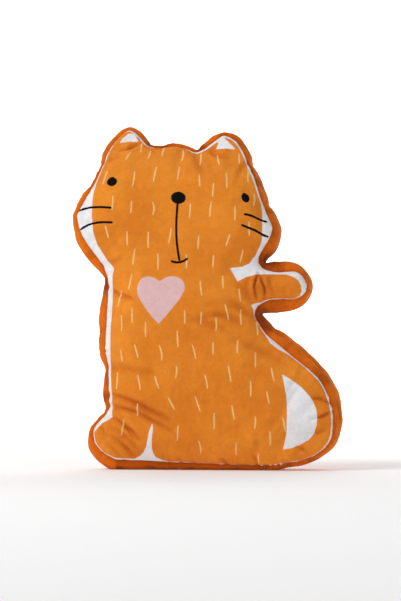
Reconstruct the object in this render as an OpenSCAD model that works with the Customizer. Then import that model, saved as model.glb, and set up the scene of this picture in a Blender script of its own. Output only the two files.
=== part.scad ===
// Plush cat cushion: a printed velour face, a plain back and a side strip sewn round a
// cat outline, filled with polyester fibre, with an embroidered face. It sits on its base.
// Millimetres. X runs across the cat, Y from its front to its back, Z up. The origin is
// on the floor under the middle. The front of the cat looks towards -Y.

/* [Overall] */
// Height from the floor to the taller ear tip
cat_h = 400; // [333:1:480]
// Width from the cheek to the haunch
cat_w = 311; // [259:1:373]

/* [Cushion] */
// Depth of the side strip between its front and back seams
strip_depth = 50; // [41:1:60]
// How far the filling lifts the middle of the front and of the back above the seams
face_rise = 16; // [13:0.5:20]
// Distance in from the seam at which a face has its full rise
rise_reach = 50; // [41:1:60]
// Share of the strip's depth that is left at the ear tips
ear_depth_share = 0.55; // [0.45:0.05:0.7]
// Share of the strip's depth that is left at the paw's end
paw_depth_share = 0.9; // [0.75:0.05:1]

/* [Cloth] */
// Thickness of the velour
cloth_t = 1.6; // [1.2:0.1:2]
// Clearance of the cloth at each fold
fit_gap = 0.4; // [0.3:0.05:0.6]
// Room between the filling and the cloth round it, and between the fillings at a fold
filling_gap = 2; // [1.7:0.1:2.3]

/* [Stitching] */
// Width of the thread that shows in the seams
thread_w = 0.8; // [0.6:0.1:1]
// Number of ladder stitches that close the filling gap
closing_count = 8; // [5:1:9]
// Distance from one ladder stitch to the next
closing_pitch = 4; // [3.3:0.1:4.8]

/* [Face] */
// Width of the left eye
left_eye_w = 11; // [9:0.5:13]
// Width of the right eye
right_eye_w = 8.5; // [7:0.5:10]
// Height of both eyes
eye_h = 10.5; // [8.5:0.5:12.5]
// Width of the nose
nose_w = 17; // [14:0.5:20]
// Height of the nose
nose_h = 13.5; // [11:0.5:16]
// Width of the muzzle line, the mouth and the whiskers
stroke_w = 2.4; // [2:0.1:3]
// How far the embroidery stands above the cloth
embroidery_rise = 0.7; // [0.5:0.1:0.9]

/* [Folds] */
// Furthest that the head nods, forwards or back, in degrees
nod_limit = 12; // [8:1:14]
// Furthest that the paw folds, forwards or back, in degrees
paw_limit = 15; // [10:1:18]
// Furthest that an ear folds, forwards or back, in degrees
ear_limit = 15; // [10:1:18]

/* [Hidden] */

// The pattern was drawn at this size, and is stretched to cat_w and cat_h.
pattern_w = 311;
pattern_h = 400;

// Outline of the filled cat, anticlockwise from the left end of its base, as seen from
// the front: [x, z, how far inside it the seam lies].
PATTERN = [
    [-103, 0, 6.5], [65, 0, 6.5],                                            // base
    [92, 4, 5.5], [120, 10, 5], [139, 20, 5], [151, 34, 6.5], [155.5, 52, 7.5],
    [155.5, 70, 8.5], [151, 90, 10], [142, 108, 11], [125, 127, 12],         // haunch
    [104, 146, 13.5], [79, 164, 13], [67, 175, 12], [64, 181, 13],           // back
    [73, 182, 13.5], [90, 183, 14.5], [108, 188, 13], [119, 198, 9], [123.5, 210, 6],
    [120, 224, 7], [111, 235, 8.5], [98, 239.5, 10], [83, 238.8, 10],        // paw
    [70, 240.4, 10.5], [77, 250, 11], [84.5, 264, 12], [86, 280, 10.5],
    [79, 297, 7], [70, 315, 5], [63, 335, 5], [56, 353, 5], [50, 368, 5],    // cheek
    [42, 381, 5.5], [33, 389, 6], [21, 393, 6], [10, 389, 5.5], [-3, 379, 5],// ear
    [-10, 373, 4.5], [-20, 376, 4], [-36, 380, 4], [-52, 378, 4],            // crown
    [-64, 379, 4.5], [-69, 383, 5], [-76, 392, 5.5], [-83, 398, 5.5],
    [-90, 400, 5.5], [-99, 396, 5.5], [-110, 386, 5],                        // ear
    [-119, 372, 5], [-127, 352, 5], [-136, 334, 5.5], [-147, 316, 6], [-155, 298, 5.5],
    [-155, 288, 6], [-151, 268, 8.5], [-141, 248, 11], [-128, 232, 10.5],    // cheek
    [-120, 219, 8], [-120, 205, 7], [-123, 185, 8], [-124, 160, 8.5], [-123, 138, 8.5],
    [-119, 115, 7], [-119.5, 90, 6.5], [-119, 72, 7.5],                      // side
    [-125, 62, 8], [-134, 50, 7], [-137, 37, 7], [-136, 25, 7.5],
    [-128, 12, 9], [-115, 3.5, 8.5]];                                        // foot
// Places in PATTERN where the base ends and the folds begin and end
BASE_END = 1;
PAW_START = 14;
PAW_END = 24;
RIGHT_EAR_START = 32;
RIGHT_EAR_END = 38;
LEFT_EAR_START = 42;
LEFT_EAR_END = 49;
NECK_LEFT = 57;

steps = 2;                            // samples along each stretch of the outline
base_steps = 6;                       // samples along the straight base
across = [cat_w / pattern_w, cat_h / pattern_h];
count = len(PATTERN);
half_strip = strip_depth / 2;
seam_lap = fit_gap / 2;               // the strip's edges stop this far from the faces
ear_base_z = 320 * across[1];         // the strip narrows from here up to the ear tips
paw_base_x = 60 * across[0];          // and from here to the paw's end
paw_tip_x = 124 * across[0];
haunch_top_z = 150 * across[1];       // the haunch, as far out as the paw, ends below here
RINGS = [0.36, 0.66, 0.85, 0.95, 1];  // rings of each face, from its middle outwards
// The strip's profile, from the front seam to the back one: [share of half its depth,
// share of the bulge]. The FLAT share is the flat middle, on which the cat sits.
FLAT = 0.7;
STRIP = [[-1, 0], [-0.87, 0.68], [-FLAT, 1], [FLAT, 1], [0.87, 0.68], [1, 0]];

// ---------------------------------------------------------------- the sewing pattern

function at(i) = PATTERN[(i + count) % count];

// Smooth curve from point b to point c of four points in a row
function curve(a, b, c, d, t) =
    0.5 * (2 * b + (c - a) * t + (2 * a - 5 * b + 4 * c - d) * t * t
           + (3 * b - a - 3 * c + d) * t * t * t);

// Points on either side of the base that keep the curve level where it meets the base
function before(i) = i == BASE_END ? [at(1)[0] - 20, 0, at(1)[2]] : at(i - 1);
function after(i) = i == count ? [at(0)[0] + 20, 0, at(0)[2]] : at(i + 1);

function stretch(i) =
    i == 0
    ? [for (k = [0 : base_steps - 1]) at(0) + (at(1) - at(0)) * k / base_steps]
    : [for (k = [0 : steps - 1])
          curve(before(i), at(i), at(i + 1), after(i + 1), k / steps)];

function scaled(p) = [p[0] * across[0], p[1] * across[1], p[2]];
OUTLINE = [for (i = [0 : count - 1]) for (p = stretch(i)) scaled(p)];
total = len(OUTLINE);

// Place in OUTLINE of the point number i of PATTERN
function sample(i) = i == 0 ? 0 : base_steps + (i - 1) * steps;

function unit(v) = v / norm(v);
function xz(p) = [p[0], p[1]];
// Direction out of the outline. It is set by hand for the base and for the notches, so
// that the strip's ends meet there in one plane.
function out_at(i) =
    i <= sample(BASE_END) ? [0, -1]
    : i == sample(PAW_START) ? unit([0.5, -0.87])
    : i == sample(PAW_END) ? unit([0.6, 0.8])
    : i == sample(NECK_LEFT) ? [-1, 0]
    : let (a = xz(OUTLINE[i - 1]), b = xz(OUTLINE[(i + 1) % total]), v = unit(b - a))
      [v[1], -v[0]];

// The seam: [x, z, outward x, outward z, bulge], one for each point of OUTLINE
SEAM = [for (i = [0 : total - 1])
    let (n = out_at(i), p = OUTLINE[i])
    [p[0] - n[0] * p[2], p[1] - n[1] * p[2], n[0], n[1], p[2]]];

function last(list) = list[len(list) - 1];

// An edge point is a seam point with two more entries, which hold it off a fold: which way
// it is pushed, and how much further for each millimetre of depth from the middle.
function plain(p) = [p[0], p[1], p[2], p[3], p[4], [0, 0], [0, 0]];
function pushed(p, m, angle) =
    [p[0], p[1], p[2], p[3], p[4], p[5] + m, p[6] + m * tan(angle)];
function moved(p, y, gap) = xz(p) + p[5] * gap + p[6] * abs(y);

// Edge points from point i to point j of PATTERN, with the two ends pushed along the seam,
// off the folds there. The samples next to the ends are left out, to give them room.
function run(i, j, from_angle, to_angle) =
    let (a = sample(i), b = sample(j) + (j > i ? 0 : total),
         list = [for (k = [a : b]) if (k != a + 1 && k != b - 1) plain(SEAM[k % total])],
         n = len(list))
    [for (k = [0 : n - 1])
        k == 0 ? pushed(list[0], unit(xz(list[1]) - xz(list[0])), from_angle)
        : k == n - 1 ? pushed(list[k], unit(xz(list[k - 1]) - xz(list[k])), to_angle)
        : list[k]];

// Direction into the cloth from the fold that runs from a to b
function inwards(a, b) = let (v = unit(xz(b) - xz(a))) [-v[1], v[0]];

// Edge points of the straight fold from edge point a to edge point b, at n - 1 places
// between them. Where the strip leaves the fold's line, one more point at that end keeps
// the filling off the far side of the fold.
corner = 0.5;
function fold(a, b, n, angle, from_corner = false, to_corner = false) =
    let (m = inwards(a, b), v = xz(b) - xz(a), e = corner / norm(v))
    concat(
        from_corner ? [fold_point(a, v * e, corner_push(m, a), angle)] : [],
        [for (k = [1 : n - 1]) fold_point(a, v * k / n, m, angle)],
        to_corner ? [fold_point(a, v * (1 - e), corner_push(m, b), angle)] : []);
// At a corner that bends inwards the push is shared between its two sides
function corner_push(m, p) = let (t = unit(p[5])) t * m < 0 ? unit(m + t) : m;
function fold_point(a, v, m, angle) =
    pushed([a[0] + v[0], a[1] + v[1], 0, 0, 0, [0, 0], [0, 0]], m, angle);

margin = 4.5;                          // degrees of room beyond each fold's limit
nod_room = nod_limit + margin;
paw_room = paw_limit / 2 + margin;     // half of it on each side of the fold
ear_room = ear_limit / 2 + margin;
// At the notch the strip's ends lie askew to both folds, and need part of either's room
notch_head_room = nod_limit * 0.8 + margin;
notch_paw_room = paw_limit * 0.9 + margin;

neck_left = plain(SEAM[sample(NECK_LEFT)]);
notch = plain(SEAM[sample(PAW_END)]);  // where head, torso and paw meet
armpit = plain(SEAM[sample(PAW_START)]);

// The torso gives way to the whole nod, and to half of the paw's fold
TORSO_RUN = run(NECK_LEFT, PAW_START, nod_room, paw_room);
TORSO_NOTCH = pushed(pushed([notch[0], notch[1], 0, 0, 0, [0, 0], [0, 0]],
                            inwards(armpit, notch), paw_room),
                     inwards(notch, neck_left), nod_room);
TORSO = concat(TORSO_RUN, fold(last(TORSO_RUN), notch, 4, paw_room, true),
               [TORSO_NOTCH], fold(notch, TORSO_RUN[0], 9, nod_room));
base_left = sample(len(PATTERN) - NECK_LEFT + BASE_END) - base_steps - 1;
TORSO_LEFT = [for (k = [0 : base_left]) TORSO_RUN[k]];
TORSO_RIGHT = [for (k = [base_left + base_steps : len(TORSO_RUN) - 1]) TORSO_RUN[k]];

HEAD_RIGHT = run(PAW_END, RIGHT_EAR_START, notch_head_room, ear_room);
HEAD_CROWN = run(RIGHT_EAR_END, LEFT_EAR_START, ear_room, ear_room);
HEAD_LEFT = run(LEFT_EAR_END, NECK_LEFT, ear_room, 0);
HEAD = concat(HEAD_RIGHT, fold(last(HEAD_RIGHT), HEAD_CROWN[0], 3, ear_room, true, true),
              HEAD_CROWN, fold(last(HEAD_CROWN), HEAD_LEFT[0], 3, ear_room, true, true),
              HEAD_LEFT, fold(last(HEAD_LEFT), HEAD_RIGHT[0], 9, 0));
PAW_RUN = run(PAW_START, PAW_END, paw_room, notch_paw_room);
PAW = concat(PAW_RUN, fold(last(PAW_RUN), PAW_RUN[0], 4, paw_room));
RIGHT_EAR_RUN = run(RIGHT_EAR_START, RIGHT_EAR_END, ear_room, ear_room);
RIGHT_EAR = concat(RIGHT_EAR_RUN, fold(last(RIGHT_EAR_RUN), RIGHT_EAR_RUN[0], 3, ear_room));
LEFT_EAR_RUN = run(LEFT_EAR_START, LEFT_EAR_END, ear_room, ear_room);
LEFT_EAR = concat(LEFT_EAR_RUN, fold(last(LEFT_EAR_RUN), LEFT_EAR_RUN[0], 3, ear_room));

TORSO_MIDDLE = [0 * across[0], 110 * across[1]];
HEAD_MIDDLE = [-35 * across[0], 300 * across[1]];
PAW_MIDDLE = [88 * across[0], 213 * across[1]];
RIGHT_EAR_MIDDLE = [20 * across[0], 375 * across[1]];
LEFT_EAR_MIDDLE = [-91 * across[0], 382 * across[1]];

// ---------------------------------------------------------------- how deep it is

function ease(t) = let (s = min(1, max(0, t))) s * s * (3 - 2 * s);
function depth_share(p) =
    min(1 - (1 - ear_depth_share) * ease((p[1] - ear_base_z) / (cat_h - ear_base_z)),
        1 - (1 - paw_depth_share) * ease((p[0] - paw_base_x) / (paw_tip_x - paw_base_x))
            * (p[1] > haunch_top_z ? 1 : 0));
// Half the depth of the strip at a place on the front
function half_at(p) = half_strip * depth_share(p);

function to_line(p, a, b) =
    let (v = xz(b) - xz(a), t = min(1, max(0, (xz(p) - xz(a)) * v / (v * v))))
    norm(xz(p) - xz(a) - v * t);
function to_seam(p) = min([for (i = [0 : total - 1]) to_line(p, SEAM[i], SEAM[(i + 1) % total])]);
// How far a face stands above the seam at a place
function rise_at(p) =
    let (t = min(1, to_seam(p) / rise_reach))
    face_rise * depth_share(p) * sqrt(1 - (1 - t) * (1 - t));

// ---------------------------------------------------------------- solids from rings

// Closed solid through rings of equal length, which closes on a point at each end
module blob(start, rings, end) {
    n = len(rings[0]);
    r = len(rings);
    points = concat([start], [for (ring = rings) for (p = ring) p], [end]);
    faces = concat(
        [for (k = [0 : n - 1]) [0, 1 + (k + 1) % n, 1 + k]],
        [for (j = [0 : r - 2]) for (k = [0 : n - 1])
            [1 + j * n + k, 1 + j * n + (k + 1) % n, 1 + (j + 1) * n + (k + 1) % n]],
        [for (j = [0 : r - 2]) for (k = [0 : n - 1])
            [1 + j * n + k, 1 + (j + 1) * n + (k + 1) % n, 1 + (j + 1) * n + k]],
        [for (k = [0 : n - 1]) [1 + (r - 1) * n + k, 1 + (r - 1) * n + (k + 1) % n, 1 + r * n]]);
    polyhedron(points, faces);
}

// Closed solid swept through sections of m points out and m points back
module ribbon(sections) {
    n = len(sections[0]);
    m = n / 2;
    r = len(sections);
    points = [for (s = sections) for (p = s) p];
    top = (r - 1) * n;
    faces = concat(
        [for (j = [0 : m - 2]) [j, j + 1, n - 2 - j]],
        [for (j = [0 : m - 2]) [j, n - 2 - j, n - 1 - j]],
        [for (i = [0 : r - 2]) for (k = [0 : n - 1])
            [i * n + k, (i + 1) * n + (k + 1) % n, i * n + (k + 1) % n]],
        [for (i = [0 : r - 2]) for (k = [0 : n - 1])
            [i * n + k, (i + 1) * n + k, (i + 1) * n + (k + 1) % n]],
        [for (j = [0 : m - 2]) [top + j, top + n - 2 - j, top + j + 1]],
        [for (j = [0 : m - 2]) [top + j, top + n - 1 - j, top + n - 2 - j]]);
    polyhedron(points, faces);
}

// ---------------------------------------------------------------- cloth and filling

// The edge of a face, where that face lies extra millimetres outside the strip's end
function rim_at(edge, extra, gap) =
    [for (p = edge) moved(p, half_at(p) + rise_at(p) + extra, gap)];
function towards(rim, middle, s) = [for (q = rim) middle + (q - middle) * s];
function at_depth(ring, extra) = [for (p = ring) [p[0], -half_at(p) - rise_at(p) - extra, p[1]]];

// Front cloth of one part: the same rings outside and in, cloth_t apart
module front_cloth(edge, middle) {
    outside = rim_at(edge, cloth_t, fit_gap);
    inside = rim_at(edge, 0, fit_gap);
    outer = [for (s = RINGS) at_depth(towards(outside, middle, s), cloth_t)];
    inner = [for (i = [len(RINGS) - 1 : -1 : 0]) at_depth(towards(inside, middle, RINGS[i]), 0)];
    heart = at_depth([middle], 0)[0];
    blob(heart - [0, cloth_t, 0], concat(outer, inner), heart);
}

// Filling of one part: domed to the cloth in front and behind, bulged inside the strip.
// It has one ring fewer than the cloth, and so stays off the cloth's turn into the seam.
module filling(edge, middle) {
    inset = cloth_t + filling_gap;
    face = rim_at(edge, -filling_gap, filling_gap);
    dome = [for (i = [0 : len(RINGS) - 3])
        at_depth(towards(face, middle, RINGS[i]), -filling_gap)];
    function fold_depth(q) = half_at(q) + rise_at(q);
    function rim_depth(p) =
        (p[4] == 0 ? fold_depth(moved(p, fold_depth(p), filling_gap)) : half_at(p)) - filling_gap;
    function point(p, y, out) =
        let (q = moved(p, y, filling_gap)) [q[0] + p[2] * out, y, q[1] + p[3] * out];
    rim = [for (p = edge) point(p, -rim_depth(p), -inset)];
    function wall(share) = [for (p = edge) point(p, share * half_at(p), p[4] - inset)];
    function back(ring) = [for (p = ring) [p[0], -p[1], p[2]]];
    heart = at_depth([middle], -filling_gap)[0];
    blob(heart,
         concat(dome, [rim, wall(-FLAT), wall(0), wall(FLAT), back(rim)],
                [for (i = [len(dome) - 1 : -1 : 0]) back(dome[i])]),
         [heart[0], -heart[1], heart[2]]);
}

// One stretch of the side strip, along a list of edge points
module side_strip(edge) {
    m = len(STRIP);
    function place_at(p, y, out) =
        let (q = moved(p, y, fit_gap)) [q[0] + p[2] * out, y, q[1] + p[3] * out];
    function section(p) =
        let (h = half_at(p) - seam_lap)
        concat([for (s = STRIP) place_at(p, s[0] * h, s[1] * p[4])],
               [for (i = [m - 1 : -1 : 0])
                   place_at(p, STRIP[i][0] * h, STRIP[i][1] * p[4] - cloth_t)]);
    ribbon([for (p = edge) section(p)]);
}

// Thread lying in the front and the back seam along a list of edge points
module seam_thread(edge) {
    r = thread_w / 2;
    function section(p, side) =
        let (n = r + seam_lap, y = side * (half_at(p) + cloth_t / 2),
             q = moved(p, y, fit_gap))
        [for (c = [[-1, -1], [1, -1], [1, 1], [-1, 1]])
            [q[0] + p[2] * (n + c[0] * r), y + c[1] * r, q[1] + p[3] * (n + c[0] * r)]];
    for (side = [-1, 1]) ribbon([for (p = edge) section(p, side)]);
}

module back_of(edge, middle) { mirror([0, 1, 0]) front_cloth(edge, middle); }

orange = [0.90, 0.51, 0.18];
deep_orange = [0.82, 0.36, 0.06];
fibre = [0.95, 0.95, 0.93];
black = [0.04, 0.03, 0.03];

// ---------------------------------------------------------------- torso

module torso_front_cloth() { color(orange) front_cloth(TORSO, TORSO_MIDDLE); }
module torso_back_cloth() { color(deep_orange) back_of(TORSO, TORSO_MIDDLE); }
module torso_filling() { color(fibre) filling(TORSO, TORSO_MIDDLE); }
module torso_side_strip() {
    color(deep_orange) {
        side_strip(TORSO_LEFT);
        side_strip(TORSO_RIGHT);
    }
}

// Place on the front seam of the ladder stitch number k
closing_start = 62 * across[0];
SEAM_HEIGHTS = [for (i = [0 : sample(5)]) [SEAM[i][0], SEAM[i][1]]];
function closing_point(k) =
    let (x = closing_start + k * closing_pitch) [x, lookup(x, SEAM_HEIGHTS)];

module torso_seam_thread() {
    a = closing_point(-1);
    length = (closing_count + 1) * closing_pitch;
    color(deep_orange) difference() {
        seam_thread(TORSO_RUN);
        translate([a[0], -strip_depth, 0]) cube([length, strip_depth, 2 * a[1]]);
    }
}

// Flat bottom stretch of the strip, with its long edges turned up to the seams
module base_strip() {
    a = OUTLINE[0];
    b = OUTLINE[sample(BASE_END)];
    h = half_at(a) - seam_lap;
    m = len(STRIP);
    color(deep_orange)
        translate([a[0] + seam_lap, 0, 0])
            rotate([90, 0, 90])
                linear_extrude(b[0] - a[0] - 2 * seam_lap)
                    polygon(concat(
                        [for (s = STRIP) [s[0] * h, a[2] * (1 - s[1])]],
                        [for (i = [m - 1 : -1 : 0])
                            [STRIP[i][0] * h, a[2] * (1 - STRIP[i][1]) + cloth_t]]));
}

// Ladder stitches across the front seam, where the filling went in
module closing_stitches() {
    color(deep_orange)
        for (k = [0 : closing_count - 1])
            let (p = closing_point(k))
                translate([p[0], -half_strip - cloth_t, p[1] - thread_w / 2 - seam_lap])
                    rotate([-90, 0, 0])
                        cylinder(d = thread_w, h = cloth_t + seam_lap, $fn = 24);
}

// ---------------------------------------------------------------- head

module head_front_cloth() { color(orange) front_cloth(HEAD, HEAD_MIDDLE); }
module head_back_cloth() { color(deep_orange) back_of(HEAD, HEAD_MIDDLE); }
module head_filling() { color(fibre) filling(HEAD, HEAD_MIDDLE); }
module head_side_strip() {
    color(deep_orange) {
        side_strip(HEAD_RIGHT);
        side_strip(HEAD_CROWN);
        side_strip(HEAD_LEFT);
    }
}
module head_seam_thread() {
    color(deep_orange) {
        seam_thread(HEAD_RIGHT);
        seam_thread(HEAD_CROWN);
        seam_thread(HEAD_LEFT);
    }
}

// ---------------------------------------------------------------- embroidered face

function place(x, z) = [x * across[0], z * across[1]];
nose_at = place(-27.5, 313);
function skin_y(p) = -half_at(p) - rise_at(p) - cloth_t;
sink = 1;                              // how far the stitches go into the cloth
// Rounded profiles of the embroidery. A patch: [share of its size, share of its rise]. A
// stroke: [share of its half width, height: above 0 a share of the rise, else of the sink].
PATCH = [[0.6, 1], [0.92, 0.9], [1, 0]];
STROKE = [[-1, 0], [-0.6, 1], [0.6, 1], [1, 0], [0.9, -1], [-0.9, -1]];

// Filled satin stitch: an oval patch that follows the cloth under it
module patch(centre, w, h, tilt) {
    n = 24;                            // points round the oval
    function rim(s) = [for (k = [0 : n - 1])
        let (x = s * w / 2 * cos(360 * k / n), z = s * h / 2 * sin(360 * k / n))
        centre + [x * cos(tilt) - z * sin(tilt), x * sin(tilt) + z * cos(tilt)]];
    function ring(s, lift) = [for (p = rim(s)) [p[0], skin_y(p) - lift, p[1]]];
    top = [centre[0], skin_y(centre) - embroidery_rise, centre[1]];
    color(black)
        blob(top,
             concat([for (s = PATCH) ring(s[0], s[1] * embroidery_rise)], [ring(1, -sink)]),
             top + [0, embroidery_rise + sink, 0]);
}

// Line of satin stitch through a list of places, following the cloth under it
module stroke(route) {
    n = len(route);
    fine = [for (i = [0 : n - 2]) for (k = [0 : 2])
        curve(route[max(0, i - 1)], route[i], route[i + 1], route[min(n - 1, i + 2)], k / 3)];
    path = concat(fine, [route[n - 1]]);
    m = len(path);
    function side(i) =
        let (v = unit(path[min(m - 1, i + 1)] - path[max(0, i - 1)])) [-v[1], v[0]];
    function section(i) =
        let (p = path[i], s = side(i))
        [for (c = STROKE)
            let (q = p + s * c[0] * stroke_w / 2)
            [q[0], skin_y(q) - (c[1] > 0 ? embroidery_rise : c[1] * sink), q[1]]];
    color(black) ribbon([for (i = [0 : m - 1]) section(i)]);
}

module left_eye() { patch(place(-106, 333), left_eye_w, eye_h, 0); }
module right_eye() { patch(place(49.5, 313), right_eye_w, eye_h, 25); }
module nose() { patch(nose_at, nose_w, nose_h, -6); }
module muzzle_line() {
    stroke([nose_at - [0, nose_h / 2 + fit_gap], place(-29.5, 285), place(-29, 263),
            place(-26, 242)]);
}
module mouth() {
    stroke([place(-35.5, 240.5), place(-31, 239), place(-26, 239), place(-21, 240.5),
            place(-16.5, 243.5)]);
}
module upper_left_whisker() {
    stroke([place(-145.5, 300.5), place(-138, 302.5), place(-130, 303.5), place(-118, 303.5),
            place(-105.5, 302.5)]);
}
module lower_left_whisker() {
    stroke([place(-143.5, 278.5), place(-137, 282), place(-130, 284.5), place(-117.5, 286),
            place(-104, 285.5)]);
}
module upper_right_whisker() {
    stroke([place(48.5, 294), place(55.5, 292.5), place(61.5, 290), place(68, 287),
            place(73.5, 285.5)]);
}
module lower_right_whisker() {
    stroke([place(45.5, 281.5), place(54, 278), place(61.5, 275), place(69, 270.5),
            place(75, 268.5)]);
}

// ---------------------------------------------------------------- paw

module paw_front_cloth() { color(orange) front_cloth(PAW, PAW_MIDDLE); }
module paw_back_cloth() { color(deep_orange) back_of(PAW, PAW_MIDDLE); }
module paw_filling() { color(fibre) filling(PAW, PAW_MIDDLE); }
module paw_side_strip() { color(deep_orange) side_strip(PAW_RUN); }
module paw_seam_thread() { color(deep_orange) seam_thread(PAW_RUN); }

// ---------------------------------------------------------------- ears

module left_ear_front_cloth() {
    color(orange) front_cloth(LEFT_EAR, LEFT_EAR_MIDDLE);
}
module left_ear_back_cloth() {
    color(deep_orange) back_of(LEFT_EAR, LEFT_EAR_MIDDLE);
}
module left_ear_side_strip() { color(deep_orange) side_strip(LEFT_EAR_RUN); }
module left_ear_filling() {
    color(fibre) filling(LEFT_EAR, LEFT_EAR_MIDDLE);
}
module left_ear_seam_thread() {
    color(deep_orange) seam_thread(LEFT_EAR_RUN);
}
module right_ear_front_cloth() {
    color(orange) front_cloth(RIGHT_EAR, RIGHT_EAR_MIDDLE);
}
module right_ear_back_cloth() {
    color(deep_orange) back_of(RIGHT_EAR, RIGHT_EAR_MIDDLE);
}
module right_ear_side_strip() {
    color(deep_orange) side_strip(RIGHT_EAR_RUN);
}
module right_ear_filling() {
    color(fibre) filling(RIGHT_EAR, RIGHT_EAR_MIDDLE);
}
module right_ear_seam_thread() {
    color(deep_orange) seam_thread(RIGHT_EAR_RUN);
}

torso_front_cloth();
torso_back_cloth();
torso_side_strip();
base_strip();
torso_filling();
torso_seam_thread();
closing_stitches();
head_front_cloth();
head_back_cloth();
head_side_strip();
head_filling();
head_seam_thread();
left_eye();
right_eye();
nose();
muzzle_line();
mouth();
upper_left_whisker();
lower_left_whisker();
upper_right_whisker();
lower_right_whisker();
paw_front_cloth();
paw_back_cloth();
paw_side_strip();
paw_filling();
paw_seam_thread();
left_ear_front_cloth();
left_ear_back_cloth();
left_ear_side_strip();
left_ear_filling();
left_ear_seam_thread();
right_ear_front_cloth();
right_ear_back_cloth();
right_ear_side_strip();
right_ear_filling();
right_ear_seam_thread();
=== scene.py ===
# Plush cat cushion: a printed velour front, a plain velour back and a side strip (gusset)
# sewn round a cat outline, filled with polyester fibre. Its face is satin stitch.
# Metres, X across the cat, -Y out of its face, Z up. Names that end in _MM hold millimetres.
import math

import bpy
import numpy as np
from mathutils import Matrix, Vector, geometry, noise
from mathutils.bvhtree import BVHTree
from mathutils.kdtree import KDTree


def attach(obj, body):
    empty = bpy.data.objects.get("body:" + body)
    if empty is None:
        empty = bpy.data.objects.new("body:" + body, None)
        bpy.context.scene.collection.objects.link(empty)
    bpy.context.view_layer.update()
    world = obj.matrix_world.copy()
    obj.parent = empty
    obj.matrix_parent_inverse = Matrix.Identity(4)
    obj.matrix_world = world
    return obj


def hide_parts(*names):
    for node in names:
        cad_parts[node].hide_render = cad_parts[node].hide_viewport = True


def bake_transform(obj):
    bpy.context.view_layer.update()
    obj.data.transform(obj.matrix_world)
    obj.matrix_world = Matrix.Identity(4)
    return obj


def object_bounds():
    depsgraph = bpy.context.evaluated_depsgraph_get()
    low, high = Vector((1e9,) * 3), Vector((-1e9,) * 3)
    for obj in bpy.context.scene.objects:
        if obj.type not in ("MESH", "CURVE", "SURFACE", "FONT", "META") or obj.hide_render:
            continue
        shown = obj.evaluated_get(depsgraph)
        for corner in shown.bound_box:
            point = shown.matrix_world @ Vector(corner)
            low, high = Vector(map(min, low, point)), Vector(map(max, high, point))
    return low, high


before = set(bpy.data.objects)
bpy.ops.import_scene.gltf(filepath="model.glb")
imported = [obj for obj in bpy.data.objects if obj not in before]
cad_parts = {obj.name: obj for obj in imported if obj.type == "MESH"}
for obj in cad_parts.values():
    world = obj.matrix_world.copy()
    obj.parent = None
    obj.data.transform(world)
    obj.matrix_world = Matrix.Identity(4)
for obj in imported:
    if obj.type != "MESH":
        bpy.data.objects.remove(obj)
CAD_BOX = [[float(v) for v in corner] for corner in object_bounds()]
scene = bpy.context.scene
MM = 0.001

# ---------------------------------------------------------------- studio
# The cat stands on a white paper sweep under soft light, with its front turned a little
# away from the camera, so that the strip on its right shows.
CAMERA_TURN, CAMERA_TILT = math.radians(7), math.radians(-2)
CAMERA_DISTANCE = 2.6
FRAME_HEIGHT = 0.7008                      # height of the view at the cat
SENSOR = 24
CAMERA_TARGET = Vector((-0.007, 0, 0.1965))

camera = bpy.data.objects.new("camera", bpy.data.cameras.new("camera"))
scene.collection.objects.link(camera)
away = Vector((math.sin(CAMERA_TURN) * math.cos(CAMERA_TILT),
               -math.cos(CAMERA_TURN) * math.cos(CAMERA_TILT), math.sin(CAMERA_TILT)))
camera.location = CAMERA_TARGET + away * CAMERA_DISTANCE
camera.rotation_euler = (-away).to_track_quat("-Z", "Y").to_euler()
camera.data.sensor_fit = "VERTICAL"
camera.data.sensor_height = SENSOR
camera.data.lens = SENSOR * CAMERA_DISTANCE / FRAME_HEIGHT
scene.camera = camera
scene.view_settings.view_transform = "Standard"


def add_mesh(name, points, faces, smooth=True):
    mesh = bpy.data.meshes.new(name)
    mesh.from_pydata([tuple(p) for p in points], [], [tuple(f) for f in faces])
    mesh.update()
    if smooth:
        mesh.shade_smooth()
    piece = bpy.data.objects.new(name, mesh)
    scene.collection.objects.link(piece)
    return piece


def add_node(tree, kind, inputs=None, **settings):
    made = tree.nodes.new(kind)
    for key, value in settings.items():
        setattr(made, key, value)
    for key, value in (inputs or {}).items():
        if isinstance(value, bpy.types.NodeSocket):
            tree.links.new(value, made.inputs[key])
        else:
            made.inputs[key].default_value = value
    return made


def blank_material(name):
    material = bpy.data.materials.new(name)
    material.use_nodes = True
    material.node_tree.nodes.clear()
    return material, material.node_tree


def finish_material(tree, shader):
    output = add_node(tree, "ShaderNodeOutputMaterial")
    tree.links.new(shader.outputs["BSDF"], output.inputs["Surface"])


SWEEP_HALF_WIDTH, SWEEP_FRONT, SWEEP_BACK, SWEEP_TOP, SWEEP_BEND = 4.0, -4.0, 2.2, 3.5, 0.8
paper, tree = blank_material("white_paper")
finish_material(tree, add_node(tree, "ShaderNodeBsdfPrincipled", {
    "Base Color": (0.93, 0.93, 0.93, 1), "Roughness": 0.9, "Specular IOR Level": 0.1,
    "Emission Color": (1, 1, 1, 1), "Emission Strength": 0.1}))
profile = [(SWEEP_FRONT, 0.0)] + [
    (SWEEP_BACK - SWEEP_BEND + SWEEP_BEND * math.sin(a), SWEEP_BEND - SWEEP_BEND * math.cos(a))
    for a in np.linspace(0, math.pi / 2, 12)] + [(SWEEP_BACK, SWEEP_TOP)]
floor = add_mesh("floor", [(x, y, z) for y, z in profile
                           for x in (-SWEEP_HALF_WIDTH, SWEEP_HALF_WIDTH)],
                 [(2 * i, 2 * i + 1, 2 * i + 3, 2 * i + 2) for i in range(len(profile) - 1)])
floor.data.materials.append(paper)

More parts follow.
